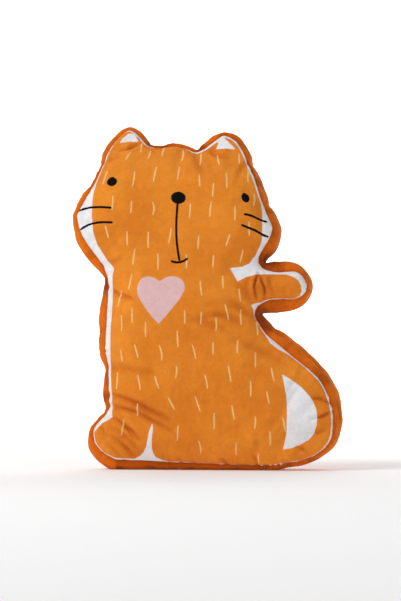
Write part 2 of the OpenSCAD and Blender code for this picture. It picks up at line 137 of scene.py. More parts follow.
LIGHTS = [("key", (-1.5, -1.3, 2.1), 1.2, 33, CAMERA_TARGET),
          ("fill", (1.9, -2.2, 0.8), 1.8, 3, CAMERA_TARGET),
          ("sweep", (0, 1.3, 2.0), 2.6, 60, Vector((0, 2.9, 1.2)))]
for name, place, size, power, aim in LIGHTS:
    light = bpy.data.lights.new(name, "AREA")
    light.size = size
    light.energy = power
    lamp = bpy.data.objects.new(name, light)
    lamp.location = place
    lamp.rotation_euler = (Vector(place) - aim).to_track_quat("Z", "Y").to_euler()
    scene.collection.objects.link(lamp)
world = bpy.data.worlds.new("studio")
world.use_nodes = True
world.node_tree.nodes["Background"].inputs["Color"].default_value = (1, 1, 1, 1)
world.node_tree.nodes["Background"].inputs["Strength"].default_value = 0.4
scene.world = world

# ---------------------------------------------------------------- cover, as it is cut and sewn
# Front, strip and back are cut to one cat outline and sewn along two seams. The outline is
# [x, z, how far inside it the seam lies], anticlockwise from the left end of the base.
PATTERN_MM = np.array([
    [-103, 0, 11], [65, 0, 5],
    [92, 4, 3.6], [120, 10, 3.4], [139, 20, 3.6], [151, 34, 4.6], [155.5, 52, 6],
    [155.5, 70, 7], [151, 90, 8], [142, 108, 8.5], [125, 127, 10],
    [104, 146, 12], [79, 164, 9.5], [67, 175, 5], [64, 181, 5],
    [73, 182, 12.5], [90, 183, 13.4], [108, 188, 9], [119, 198, 5], [123.5, 210, 3.6],
    [120, 224, 4.5], [111, 235, 7.5], [98, 239.5, 10.6], [83, 238.8, 10.3],
    [70, 240.4, 7], [77, 250, 9], [84.5, 264, 8.5], [86, 280, 6],
    [79, 297, 5.4], [70, 315, 3.6], [63, 335, 3], [56, 353, 3.8], [50, 368, 3.8],
    [42, 381, 3.7], [33, 389, 4.1], [21, 393, 4.6], [10, 389, 6.6], [-3, 379, 6.6],
    [-10, 373, 4.2], [-20, 376, 3], [-36, 380, 3.2], [-52, 378, 3],
    [-64, 379, 2.8], [-69, 383, 2.6], [-76, 392, 3.2], [-83, 398, 3.8],
    [-90, 400, 4.2], [-99, 396, 4.5], [-110, 386, 5.6],
    [-119, 372, 6], [-127, 352, 6.2], [-136, 334, 7.2], [-147, 316, 7.5], [-155, 298, 6],
    [-155, 288, 6], [-151, 268, 8.5], [-141, 248, 11], [-128, 232, 10.5],
    [-120, 219, 7.5], [-120, 205, 7.5], [-123, 185, 9], [-124, 160, 8.4], [-123, 138, 7.6],
    [-119, 115, 6.8], [-119.5, 90, 8], [-119, 72, 7.8],
    [-125, 62, 5.5], [-134, 50, 5.5], [-137, 37, 8], [-136, 25, 10.5],
    [-128, 12, 12], [-115, 3.5, 12]])
BASE_END, ARMPIT, NOTCH, NECK_LEFT = 1, 14, 24, 57
RIGHT_EAR, LEFT_EAR = (32, 38), (42, 49)
PATTERN_WIDTH_MM, PATTERN_HEIGHT_MM = 311.8, 400.0
STRIP_HALF_MM, RISE_MM, REACH_MM = 25.0, 16.0, 50.0
EAR_SHARE, PAW_SHARE = 0.55, 0.9           # of the strip's depth left at the tips
MESH_MM = 3.8                              # size of the cloth's mesh before it is refined
STRIP_COLUMNS = 12

# The CAD frame sets the size: everything in the pattern is stretched to its box.
STRETCH = np.array([(CAD_BOX[1][0] - CAD_BOX[0][0]) / MM / PATTERN_WIDTH_MM,
                    (CAD_BOX[1][2] - CAD_BOX[0][2]) / MM / PATTERN_HEIGHT_MM])


def curved(a, b, c, d, t):
    return 0.5 * (2 * b + (c - a) * t + (2 * a - 5 * b + 4 * c - d) * t * t
                  + (3 * b - a - 3 * c + d) * t ** 3)


def nearer(end, past, length):
    """The neighbour past an end, drawn in so that a long stretch doesn't pull the curve"""
    gap = past - end
    return end + gap * min(1, 1.5 * length / max(np.linalg.norm(gap[:2]), 1e-9))


def smooth_line(points, spacing, closed=False):
    """Points close together on a smooth curve through the given ones, and where those are"""
    points = np.array(points, float)
    count = len(points)
    line, starts = [], []
    for i in range(count if closed else count - 1):
        b, c = points[i], points[(i + 1) % count]
        a = points[i - 1] if closed or i > 0 else b
        d = points[(i + 2) % count] if closed or i + 2 < count else c
        length = np.linalg.norm((c - b)[:2])
        a, d = nearer(b, a, length), nearer(c, d, length)
        starts.append(len(line))
        pieces = max(1, round(length / spacing))
        line += [curved(a, b, c, d, k / pieces) for k in range(pieces)]
    if not closed:
        starts.append(len(line))
        line.append(points[-1])
    return np.array(line), starts


def ease(t):
    t = np.clip(t, 0, 1)
    return t * t * (3 - 2 * t)


flat_pattern = PATTERN_MM * [STRETCH[0], STRETCH[1], 1]
outline, corner_at = smooth_line(flat_pattern, MESH_MM * 0.9, closed=True)
base_count = corner_at[BASE_END]
outline[:base_count, 1] = 0                # the base is straight and level
outline[:base_count, 0] = np.linspace(flat_pattern[0][0], flat_pattern[1][0], base_count,
                                      endpoint=False)
outline[:, 1] = np.maximum(outline[:, 1], 0)
ring = len(outline)
heading = np.roll(outline, -1, 0)[:, :2] - np.roll(outline, 1, 0)[:, :2]
for _ in range(3):
    heading = (np.roll(heading, 1, 0) + 2 * heading + np.roll(heading, -1, 0)) / 4
heading /= np.linalg.norm(heading, axis=1)[:, None]
outward = np.stack([heading[:, 1], -heading[:, 0]], 1)
seam = outline[:, :2] - outward * outline[:, 2:3]
seam_run = np.concatenate([[0], np.cumsum(np.linalg.norm(np.diff(seam, axis=0), axis=1))])


def to_line(points, line, closed=True):
    """Distance of each point from a line, and the number of its nearest stretch"""
    a = np.array(line, float)[:, :2]
    b = np.roll(a, -1, 0)
    if not closed:
        a, b = a[:-1], b[:-1]
    best, nearest = np.full(len(points), 1e9), np.zeros(len(points), int)
    for k in range(len(a)):
        v = b[k] - a[k]
        t = np.clip(((points - a[k]) @ v) / max(v @ v, 1e-12), 0, 1)
        d = np.linalg.norm(points - a[k] - t[:, None] * v, axis=1)
        closer = d < best
        best[closer], nearest[closer] = d[closer], k
    return best, nearest


def inside(points, line):
    a = np.array(line, float)[:, :2]
    b = np.roll(a, -1, 0)
    odd = np.zeros(len(points), bool)
    for p, q in zip(a, b):
        if p[1] != q[1]:
            crosses = (p[1] > points[:, 1]) != (q[1] > points[:, 1])
            x = p[0] + (points[:, 1] - p[1]) / (q[1] - p[1]) * (q[0] - p[0])
            odd ^= crosses & (points[:, 0] < x)
    return odd


def depth_share(at):
    ear = 1 - (1 - EAR_SHARE) * ease((at[:, 1] - 320) / 80)
    paw = 1 - (1 - PAW_SHARE) * ease((at[:, 0] - 60) / 64) * (at[:, 1] > 150)
    return np.minimum(ear, paw)


FOLD_ENDS = {"neck": (NECK_LEFT, NOTCH), "paw": (NOTCH, ARMPIT),
             "right_ear": RIGHT_EAR[::-1], "left_ear": LEFT_EAR[::-1]}
fold_lines = {name: seam[[corner_at[i], corner_at[j]]] for name, (i, j) in FOLD_ENDS.items()}
flat = [tuple(p) for p in seam]
edges = [(i, (i + 1) % ring) for i in range(ring)]
for name, (i, j) in FOLD_ENDS.items():
    a, b = fold_lines[name]
    pieces = round(np.linalg.norm(b - a) / MESH_MM)
    chain = [corner_at[i]] + [len(flat) + k for k in range(pieces - 1)] + [corner_at[j]]
    flat += [tuple(a + (b - a) * k / pieces) for k in range(1, pieces)]
    edges += list(zip(chain, chain[1:]))
grid = np.array([(x + (row % 2) * MESH_MM / 2, row * MESH_MM * 0.866)
                 for row in range(int(400 * STRETCH[1] / MESH_MM / 0.866))
                 for x in np.arange(-160, 160, MESH_MM) * STRETCH[0]])
grid = grid[inside(grid, seam)]
grid = grid[to_line(grid, seam)[0] > MESH_MM * 0.6]
for line in fold_lines.values():
    grid = grid[to_line(grid, line, closed=False)[0] > MESH_MM * 0.5]
flat += [tuple(p) for p in grid]
sheet = geometry.delaunay_2d_cdt([Vector(p) for p in flat], edges, [], 1, 1e-6)
cut = np.array([tuple(p) for p in sheet[0]])
source = [min(ids) if ids else -1 for ids in sheet[3]]
panel = [list(f) for f in sheet[2]]
order = {s: i for i, s in enumerate(source)}
seam_vertex = np.array([order[i] for i in range(ring)])      # the seam's points in the panel
panel = [f if np.cross(cut[f[1]] - cut[f[0]], cut[f[2]] - cut[f[0]]) > 0 else f[::-1]
         for f in panel]

from_seam, _ = to_line(cut, seam)
on_seam = np.zeros(len(cut), bool)
on_seam[seam_vertex] = True
from_seam[on_seam] = 0
share = depth_share(cut)
START_SHARE = 0.84                          # of the full rise, before the cushion is filled
reach = np.minimum(1, from_seam / REACH_MM)
rise = RISE_MM * START_SHARE * share * np.sqrt(1 - (1 - reach) ** 2)
front = np.stack([cut[:, 0], -(STRIP_HALF_MM * share + rise), cut[:, 1]], 1)
back = front * [1, -1, 1]
count = len(cut)
angle = np.linspace(-math.pi / 2, math.pi / 2, STRIP_COLUMNS + 1)[1:-1]
ROUNDNESS = 2.6
skin = [front, back]
strip_vertex = np.zeros((ring, STRIP_COLUMNS + 1), int)
strip_vertex[:, 0] = seam_vertex
strip_vertex[:, -1] = seam_vertex + count
half = STRIP_HALF_MM * depth_share(seam)
for column, a in enumerate(angle):
    u = math.sin(a)
    swell = (1 - abs(u) ** ROUNDNESS) ** (1 / ROUNDNESS)
    place = seam + outward * outline[:, 2:3] * swell
    strip_vertex[:, column + 1] = np.arange(ring) + sum(len(s) for s in skin)
    skin.append(np.stack([place[:, 0], half * u, place[:, 1]], 1))
skin = np.concatenate(skin)

FRONT, BACK, STRIP, BASE = range(4)
BODIES = ["torso", "head", "paw", "left_ear", "right_ear"]
faces, cloth_of, body_of = [], [], []


def side_of(points, line):
    v = line[1] - line[0]
    return v[0] * (points[:, 1] - line[0][1]) - v[1] * (points[:, 0] - line[0][0])


middle = np.array([cut[f].mean(0) for f in panel])
panel_body = np.zeros(len(panel), int)
panel_body[side_of(middle, fold_lines["neck"]) > 0] = BODIES.index("head")
panel_body[(side_of(middle, fold_lines["paw"]) > 0) & (middle[:, 0] > 55)
           & (middle[:, 1] > 180) & (middle[:, 1] < 250)] = BODIES.index("paw")
for name in ("left_ear", "right_ear"):
    line = fold_lines[name]
    low, high = sorted(line[:, 0])
    ear = (side_of(middle, line) > 0) != (line[1][0] < line[0][0])
    panel_body[ear & (middle[:, 1] > 360) & (middle[:, 0] > low - 1)
               & (middle[:, 0] < high + 1)] = BODIES.index(name)
for f, body in zip(panel, panel_body):
    faces += [f, [v + count for v in f[::-1]]]
    cloth_of += [FRONT, BACK]
    body_of += [body, body]


def strip_body(i):
    spans = [("paw", ARMPIT, NOTCH), ("right_ear", *RIGHT_EAR), ("left_ear", *LEFT_EAR),
             ("head", NOTCH, NECK_LEFT)]
    for name, first, last in spans:
        if corner_at[first] <= i < corner_at[last]:
            return BODIES.index(name)
    return 0


for i in range(ring):
    for j in range(STRIP_COLUMNS):
        n = (i + 1) % ring
        faces.append([strip_vertex[i, j], strip_vertex[i, j + 1], strip_vertex[n, j + 1],
                      strip_vertex[n, j]])
        cloth_of.append(BASE if i < base_count else STRIP)
        body_of.append(strip_body(i))

# ---------------------------------------------------------------- filling the cover
# The sewn cover is blown up from inside with its seams held, as packed fibre does it. The
# cloth is a little larger than the seams allow, so that it pulls into soft folds.
PRESSURE, FRAMES, EXTRA_CLOTH = 4.0, 20, 0.03
FACE_CAP_MM, STRIP_CAP_MM = 6.0, 2.0        # how far the cloth may move
cover = add_mesh("cover", skin * MM, faces)
held = cover.vertex_groups.new(name="seams")
sewn_points = np.concatenate([strip_vertex[:, 0], strip_vertex[:, -1]])
held.add([int(v) for v in sewn_points], 1.0, "REPLACE")
cloth = cover.modifiers.new("filling", "CLOTH")
cloth.settings.quality = 6
cloth.settings.mass = 0.3
cloth.settings.tension_stiffness = cloth.settings.compression_stiffness = 15
cloth.settings.shear_stiffness = 5
cloth.settings.bending_stiffness = 0.4
cloth.settings.use_pressure = True
cloth.settings.uniform_pressure_force = PRESSURE
cloth.settings.effector_weights.gravity = 0
cloth.settings.vertex_group_mass = "seams"
cloth.settings.shrink_min = -EXTRA_CLOTH
cloth.collision_settings.use_collision = False
cloth.point_cache.frame_end = FRAMES
for step in range(1, FRAMES + 1):
    scene.frame_set(step)
filled = cover.evaluated_get(bpy.context.evaluated_depsgraph_get()).data
swollen = np.empty(len(skin) * 3, np.float32)
filled.vertices.foreach_get("co", swollen)
move = swollen.reshape(-1, 3) / MM - skin
far = np.linalg.norm(move, axis=1)
cap = np.where(np.arange(len(skin)) < 2 * count, FACE_CAP_MM, STRIP_CAP_MM)
skin = skin + move * np.minimum(1, cap / np.maximum(far, 1e-9))[:, None]
cover.modifiers.remove(cloth)
scene.frame_set(1)
skin[:, 2] = np.maximum(skin[:, 2], 0)      # it sits flat on its base

# One refinement rounds the cloth everywhere except across the seams.
cover.data.vertices.foreach_set("co", (skin * MM).astype(np.float32).ravel())
seam_pairs = {frozenset((int(a), int(b))) for column in (0, -1)
              for a, b in zip(strip_vertex[:, column], np.roll(strip_vertex[:, column], -1))}
SEAM_CREASE = 0.9
sharp = cover.data.attributes.new("crease_edge", "FLOAT", "EDGE")
sharp.data.foreach_set("value", [SEAM_CREASE if frozenset(e.vertices) in seam_pairs else 0.0
                                  for e in cover.data.edges])
for _ in range(4 * len(BODIES)):
    cover.data.materials.append(None)
cover.data.polygons.foreach_set("material_index", [c * len(BODIES) + b
                                                   for c, b in zip(cloth_of, body_of)])
refine = cover.modifiers.new("refine", "SUBSURF")
refine.levels = refine.render_levels = 1
fine = bpy.data.meshes.new_from_object(cover.evaluated_get(bpy.context.evaluated_depsgraph_get()))
bpy.data.objects.remove(cover)
points = np.empty(len(fine.vertices) * 3, np.float32)
fine.vertices.foreach_get("co", points)
points = points.reshape(-1, 3).astype(float) / MM
quads = np.empty(len(fine.polygons) * 4, np.int32)
fine.polygons.foreach_get("vertices", quads)
quads = quads.reshape(-1, 4)
code = np.empty(len(fine.polygons), np.int32)
fine.polygons.foreach_get("material_index", code)
cloth_of, body_of = code // len(BODIES), code % len(BODIES)
bpy.data.meshes.remove(fine)


def surface_normals(points, quads, groups):
    """Smooth normals for each group of faces on its own: {group: one for each point}"""
    p = points[quads]
    face = np.cross(p[:, 2] - p[:, 0], p[:, 3] - p[:, 1])
    result = {}
    for group in np.unique(groups):
        total = np.zeros_like(points)
        for corner in range(4):
            np.add.at(total, quads[groups == group, corner], face[groups == group])
        length = np.linalg.norm(total, axis=1)
        result[int(group)] = total / np.maximum(length, 1e-12)[:, None]
    return result


# ---------------------------------------------------------------- creases and puckers
# Hand-filled cushions crease where the shape turns in, and the cloth puckers along the
# seams. A crease is [places x, z on the cloth, depth, half width] in millimetres.
CREASES = [
    ([(-112, 119), (-84, 116), (-52, 110)], 1.6, 4.6),                 # across the belly
    ([(-110, 87), (-90, 82), (-72, 75), (-38, 58)], 2.8, 3.4),
    ([(-109, 73), (-88, 70), (-70, 64), (-36, 46)], 2.4, 3.2),
    ([(-110, 64), (-96, 55), (-84, 46), (-72, 34)], 2.5, 2.4),         # out over the foot
    ([(-106, 50), (-90, 39), (-74, 22)], 1.5, 2.4), ([(-110, 40), (-94, 31), (-80, 15)], 1.4, 2.2),
    ([(-116, 32), (-104, 24), (-94, 12)], 1.0, 2.4),
    ([(-119, 54), (-117, 46), (-112, 37)], 1.8, 2.8),                  # under the arm, and waist
    ([(0, 176), (24, 178), (46, 170)], 1.9, 3.6), ([(-14, 174), (10, 168), (32, 158)], 1.5, 4.2),
    ([(40, 150), (66, 138), (92, 126)], 1.3, 5.0),
    ([(-112, 212), (-100, 204), (-78, 196)], 2.2, 2.6),                # neck
    ([(-122, 236), (-108, 238), (-92, 246)], 1.2, 3.0),
    ([(64, 227), (60.5, 216), (60, 206), (62, 196)], 3.2, 1.5),        # arm's root
    ([(64.5, 227), (68.5, 218), (71, 208), (70.5, 197)], 3.2, 1.5),
    ([(80, 226), (78, 214), (80, 200)], 1.2, 2.8), ([(54, 222), (51, 210), (54, 198)], 1.0, 3.2),
    ([(40, 216), (52, 200), (62, 188)], 1.3, 4.0), ([(30, 196), (46, 184), (60, 176)], 1.5, 4.0),
    ([(146, 68), (136, 62), (124, 60)], 2.6, 2.2),                     # in from the haunch's seam
    ([(146, 78), (136, 82), (126, 84)], 1.8, 2.4),
    ([(142, 48), (132, 44), (120, 44)], 1.4, 2.4), ([(122, 20), (112, 26), (100, 28)], 1.3, 2.6),
    ([(56, 20), (60, 12), (62, 5)], 1.6, 2.4), ([(20, 14), (28, 6)], 1.2, 2.4),
    ([(-30, 16), (-26, 8)], 1.0, 2.4),
    ([(-75, 380), (-86, 374), (-99, 371)], 2.0, 2.0),                  # ears
    ([(-118, 357), (-108, 360), (-98, 364)], 1.3, 2.6),
    ([(-12, 366), (-4, 352), (2, 340)], 1.3, 3.6),
    ([(2, 372), (14, 364), (32, 360)], 1.6, 2.4), ([(52, 356), (44, 346), (40, 334)], 1.0, 3.0),
]
# Painted shade on the strip where it is bunched at the inner corners of the outline: x, z and reach
PAINTED_CORNER_SHADE = [(74, 240, 13), (66, 178, 13), (-122, 212, 9), (-64, 381, 6), (-6, 375, 6), (-119, 84, 7)]
CREASE_DEPTH, CREASE_LIP, CREASE_LIP_AT = 1.4, 0.35, 1.9      # the cloth rises beside a crease
PUCKER_MM, PUCKER_PITCH_MM, PUCKER_REACH_MM, PUCKER_SEED = 1.1, 9.0, 8.0, 7.5
RUCK_MM, RUCK_SIZE_MM, RUCK_ACROSS_MM, RUCK_SEED = 1.5, 15.0, 60, 3.1    # across the side strip
FOLD_MM, FOLD_WIDTH_MM, FOLD_WANDER_MM = 1.7, 2.4, 9        # long folds that run along it
FOLD_TRACKS = [(11, 1.7), (18, 5.1)]        # how far each lies from the middle, and its seed
FOLD_BEND_MM, FOLD_LENGTH_MM = 45, 30
ROOMY_MM = 6                                # a strip narrower than this can't fold fully
GROOVE_MM, GROOVE_REACH_MM = 1.1, 1.8
LUMP_MM, LUMP_SIZE_MM = 0.8, 34.0
# Painted shade, 0 to 1, that deepens the colour: beside the seams, in the folds, where the strip
# rucks and under the base
SEAM_SHADE, SEAM_SHADE_REACH_MM, FOLD_SHADE, RUCK_SHADE, BASE_SHADE = 0.35, 2.2, 0.5, 1.1, 0.4
FULL_SHADE_DEPTH_MM = 3.4
FLAT_MM = 1.5                               # what lies lower than this on the base stays flat

flat_points = points[:, [0, 2]]
normal = surface_normals(points, quads, np.zeros(len(quads), int))[0]
seam_line = np.concatenate([seam, seam[:1]])
share = depth_share(flat_points)
near, stretch_number = to_line(flat_points, seam_line, closed=False)
off_seam = np.hypot(near, np.maximum(0, np.abs(np.abs(points[:, 1]) - STRIP_HALF_MM * share)))
along_seam = seam_run[np.minimum(stretch_number, ring - 1)]
is_front, is_strip, is_base = (np.isin(np.arange(len(points)), quads[cloth_of == cloth])
                               for cloth in (FRONT, STRIP, BASE))
push = np.array([noise.noise(Vector(p) / LUMP_SIZE_MM) for p in points]) * LUMP_MM
wobble = np.array([noise.noise(Vector((s / (2.2 * PUCKER_PITCH_MM), PUCKER_SEED, np.sign(y))))
                   for s, y in zip(along_seam, points[:, 1])])
wave = np.sin(along_seam * 2 * math.pi / PUCKER_PITCH_MM + 9 * wobble) * (0.55 + wobble)
push += PUCKER_MM * wave * np.exp(-off_seam / PUCKER_REACH_MM) * (1 - np.exp(-off_seam / 1.2))
ruck = np.array([noise.noise(Vector((s / RUCK_SIZE_MM, y / RUCK_ACROSS_MM, RUCK_SEED)))
                 for s, y in zip(along_seam, points[:, 1])])
strip_shows = outline[np.minimum(stretch_number, ring - 1), 2]
thin = np.minimum(1, strip_shows / ROOMY_MM)
push += np.where(is_strip, RUCK_MM * thin * ruck * (1 - np.exp(-off_seam / 4)), 0)
push -= GROOVE_MM * np.exp(-(off_seam / GROOVE_REACH_MM) ** 2)
# Painted shade: a mask, 0 to 1, darkens the cloth's colour beside the seams, in folds and creases,
# in the bunched corners and on the base
shade = SEAM_SHADE * np.exp(-off_seam / SEAM_SHADE_REACH_MM)
for track, seed in FOLD_TRACKS:
    wander = np.array([noise.noise(Vector((s / FOLD_BEND_MM, seed, 0))) for s in along_seam])
    comes = np.array([noise.noise(Vector((s / FOLD_LENGTH_MM, seed, 9))) for s in along_seam])
    across = (np.abs(points[:, 1]) - (track + FOLD_WANDER_MM * wander) * share) / FOLD_WIDTH_MM
    strength = np.clip(0.35 + 2 * comes, 0, 1) * np.exp(-across ** 2) * (is_strip | is_base)
    push -= FOLD_MM * thin * strength
    shade += FOLD_SHADE * strength
# Painted shade where the strip's rucks dip, and over the whole base
shade += np.where(is_strip, np.clip(-RUCK_SHADE * ruck - 0.1, 0, 0.5), BASE_SHADE * is_base)
# Painted shade in the strip's bunched inner corners
for x, z, spread in PAINTED_CORNER_SHADE:
    gone = np.linalg.norm(flat_points - np.array([x, z]) * STRETCH, axis=1) / spread
    shade += np.where(is_strip, np.exp(-gone ** 2), 0)
for line, depth, width in CREASES:
    line = smooth_line(np.array(line, float) * STRETCH, 2.0)[0]
    distance, number = to_line(flat_points, line, closed=False)
    t = number / max(1, len(line) - 2)
    fade = np.sqrt(np.clip(4 * t * (1 - t), 0.12, 1))
    d = distance / width
    push -= np.where(is_front, CREASE_DEPTH * depth * fade
                     * (np.exp(-d * d) - CREASE_LIP * np.exp(-(d - CREASE_LIP_AT) ** 2)), 0)
    # Painted shade along each crease, deeper for a deeper crease
    shade += np.where(is_front, depth / FULL_SHADE_DEPTH_MM * fade * np.exp(-d * d), 0)
shade = np.clip(shade, 0, 1)
push[is_base & (points[:, 2] < FLAT_MM)] = 0
points = points + normal * push[:, None]
points[:, 2] = np.maximum(points[:, 2], 0)
cloth_normal = surface_normals(points, quads, np.minimum(cloth_of, STRIP))
front_quads = [tuple(int(i) for i in q) for q in quads[cloth_of == FRONT]]
front_tree = BVHTree.FromPolygons([tuple(p) for p in points * MM], front_quads)

# Bodies whose cloth crosses a bend from a neighbouring body: their pieces keep their place with
# transforms baked in, not attached to a body. Each gives the neighbouring body and two points on
# the fold.
BLENDS = {"head": ("torso", (0, 0, 0.242), (0, 0, 0.282)),
          "paw": ("torso", (0.0690, 0, 0.2108), (0.0902, 0, 0.2075)),
          "left_ear": ("head", (-0.09034, 0, 0.3768), (-0.09151, 0, 0.3887)),
          "right_ear": ("head", (0.01833, 0, 0.3717), (0.01893, 0, 0.3837))}


def fasten(piece, body, slot, *nodes):
    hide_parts(*nodes)
    if body in BLENDS:
        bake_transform(piece)
    else:
        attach(piece, body)


CLOTH_MM = 1.4                              # pile and backing together


def cloth_piece(name, cloth, body, material):
    """One cloth of one body as a closed shell, with its place on the cloth kept in it"""
    mine = quads[(cloth_of == cloth) & (body_of == BODIES.index(body))]
    used, local = np.unique(mine, return_inverse=True)
    local = local.reshape(-1, 4)
    out, up = points[used], cloth_normal[min(cloth, STRIP)][used]
    n = len(used)
    pairs = dict.fromkeys((a, b) for q in local.tolist() for a, b in zip(q, q[1:] + q[:1]))
    rim = [(a, b) for a, b in pairs if (b, a) not in pairs]
    shell = local.tolist() + [[v + n for v in q[::-1]] for q in local.tolist()] \
        + [[b, a, a + n, b + n] for a, b in rim]
    piece = add_mesh(name, np.concatenate([out, out - up * CLOTH_MM]) * MM, shell)
    mesh = piece.data
    corners = np.empty(len(mesh.loops), np.int32)
    mesh.loops.foreach_get("vertex_index", corners)
    normals = np.concatenate([up, -up])[corners]
    face_normals = np.empty(len(mesh.polygons) * 3, np.float32)
    mesh.polygons.foreach_get("normal", face_normals)
    normals[8 * len(local):] = np.repeat(face_normals.reshape(-1, 3)[2 * len(local):], 4, 0)
    mesh.normals_split_custom_set([tuple(v) for v in normals])
    place = mesh.attributes.new("cloth", "FLOAT_VECTOR", "POINT")
    place.data.foreach_set("vector", np.concatenate([out, out]).astype(np.float32).ravel() * MM)
    # The painted shade goes with the cloth as its crease attribute
    dark = mesh.attributes.new("crease", "FLOAT", "POINT")
    dark.data.foreach_set("value", np.tile(shade[used], 2).astype(np.float32))
    mesh.materials.append(material)
    return piece, np.concatenate([used, used])

# ---------------------------------------------------------------- printed front
# Short-pile velour, printed orange with pale brush ticks, a pink heart, white edges, a
# white tail tip and white inner ears. The print is placed on the cloth as listed.
# Width of the white edge at places along the outline, numbered as the pattern's corners are
BORDER_MM = [(0, 3.0), (0.12, 2.4), (0.16, 1.2), (1, 1.2), (3, 1.2), (5, 2.4), (7, 2.6),
             (9, 2.2), (13, 2), (15, 1.2), (17, 1.4), (19, 2.4), (22, 2.6), (24, 2.0),
             (27, 2.6), (29, 2.6), (33, 3.0), (35, 3.2),
             (36, 3.8), (38, 2.4), (39, 1.4), (40, 0.7), (41, 1.0), (42, 1.6), (44, 2.8),
             (46, 2.2), (47, 0.9), (49, 2.4), (51, 2.4), (54, 2.8), (62, 2.4), (66, 2.4), (70, 2.2),
             (72, 3.4)]
WHITE_MM = {
    "left_edge": [(-160, 350), (-124.1, 341.9), (-126.6, 326.3), (-128.5, 312.2),
                  (-129.2, 293.4), (-127.6, 275), (-123.8, 261.2), (-118, 251.9),
                  (-112.2, 242.6), (-103.7, 233.2), (-106.2, 224.1), (-106, 196),
                  (-108, 162), (-108, 115), (-106.1, 81), (-105.6, 61), (-112.2, 56.6),
                  (-117.8, 54.2), (-121.9, 49.6), (-127, 44), (-160, 40)],
    "chin_wedge": [(120, 330), (64.9, 315.6), (68.2, 296.8), (68.6, 280), (68.1, 264.6),
                   (64.6, 255.5), (59.8, 246.4), (53.4, 237.5), (45.5, 233.8),
                   (31.5, 232), (36.5, 224), (40.7, 216.7), (50.3, 221.9), (62.5, 225.2),
                   (79.6, 225.2), (96, 225), (104, 222.2), (109.6, 218), (113, 212),
                   (113.2, 205.5), (110.8, 200.5), (105, 197), (112, 185), (140, 185),
                   (140, 245)],
    "waist": [(71, 193.4), (60, 192), (55, 190.2), (60.3, 180.6), (64.2, 170.3),
              (68.6, 161.2), (72.3, 153.2), (77.7, 145.7), (85.2, 140), (95.4, 134.2),
              (112, 124.6), (129, 111), (160, 130), (110, 190)],
    "tail_tip": [(91.1, 110.7), (94, 99.3), (96.4, 85.7), (97.3, 67.5), (96.9, 47),
                 (95, 35.6), (91.9, 24.3), (102.8, 26.4), (112.6, 30.4), (121.7, 35.6),
                 (127.3, 42.2), (131, 53), (131.5, 63), (130.3, 70.7), (126.9, 78.8),
                 (122.9, 85.7), (114.4, 94.8), (108.7, 99.3), (100.7, 105)],
    "leg_slit": [(-57, 56.4), (-59, 50), (-61.4, 44.2), (-63.3, 35), (-65.2, 27),
                 (-68.4, 21.2), (-73.3, 16.5), (-81.2, 12.4), (-90, 8), (-90, 0),
                 (-30, 0), (-34, 8.4), (-47.5, 11.9), (-54.7, 15.4), (-57.4, 20),
                 (-58.5, 25.8), (-58.3, 35.1), (-57.4, 42), (-56.4, 48.8)],
    "left_inner_ear": [(-100.5, 379.7), (-95.5, 385.6), (-90.3, 390), (-86, 391.4),
                       (-82.3, 388.6), (-78.8, 384), (-77.4, 380.7), (-88, 381.6)],
    "right_inner_ear": [(13.4, 371), (15.6, 376.6), (18.8, 383), (22.4, 384.6),
                        (28.5, 379), (37, 370.2), (25, 371.6)],
}
HEART_MM = [(-48.9, 217.1), (-55.7, 221.4), (-62.6, 222.8), (-69.6, 220.4), (-74.3, 213.4),
            (-75.2, 206.3), (-72.9, 198.3), (-66.1, 187.4), (-58.6, 177.6), (-50, 168),
            (-42, 177), (-33.2, 187.4), (-24.8, 198.4), (-20.5, 206.4), (-20, 212.4),
            (-22.8, 218.4), (-29, 222.2), (-36.5, 222.8), (-43.4, 220.8)]
HEART_CORNERS = (0, 9)
SMUDGE_MM, SMUDGE_RADIUS_MM = (61.8, 32.0), 4.2
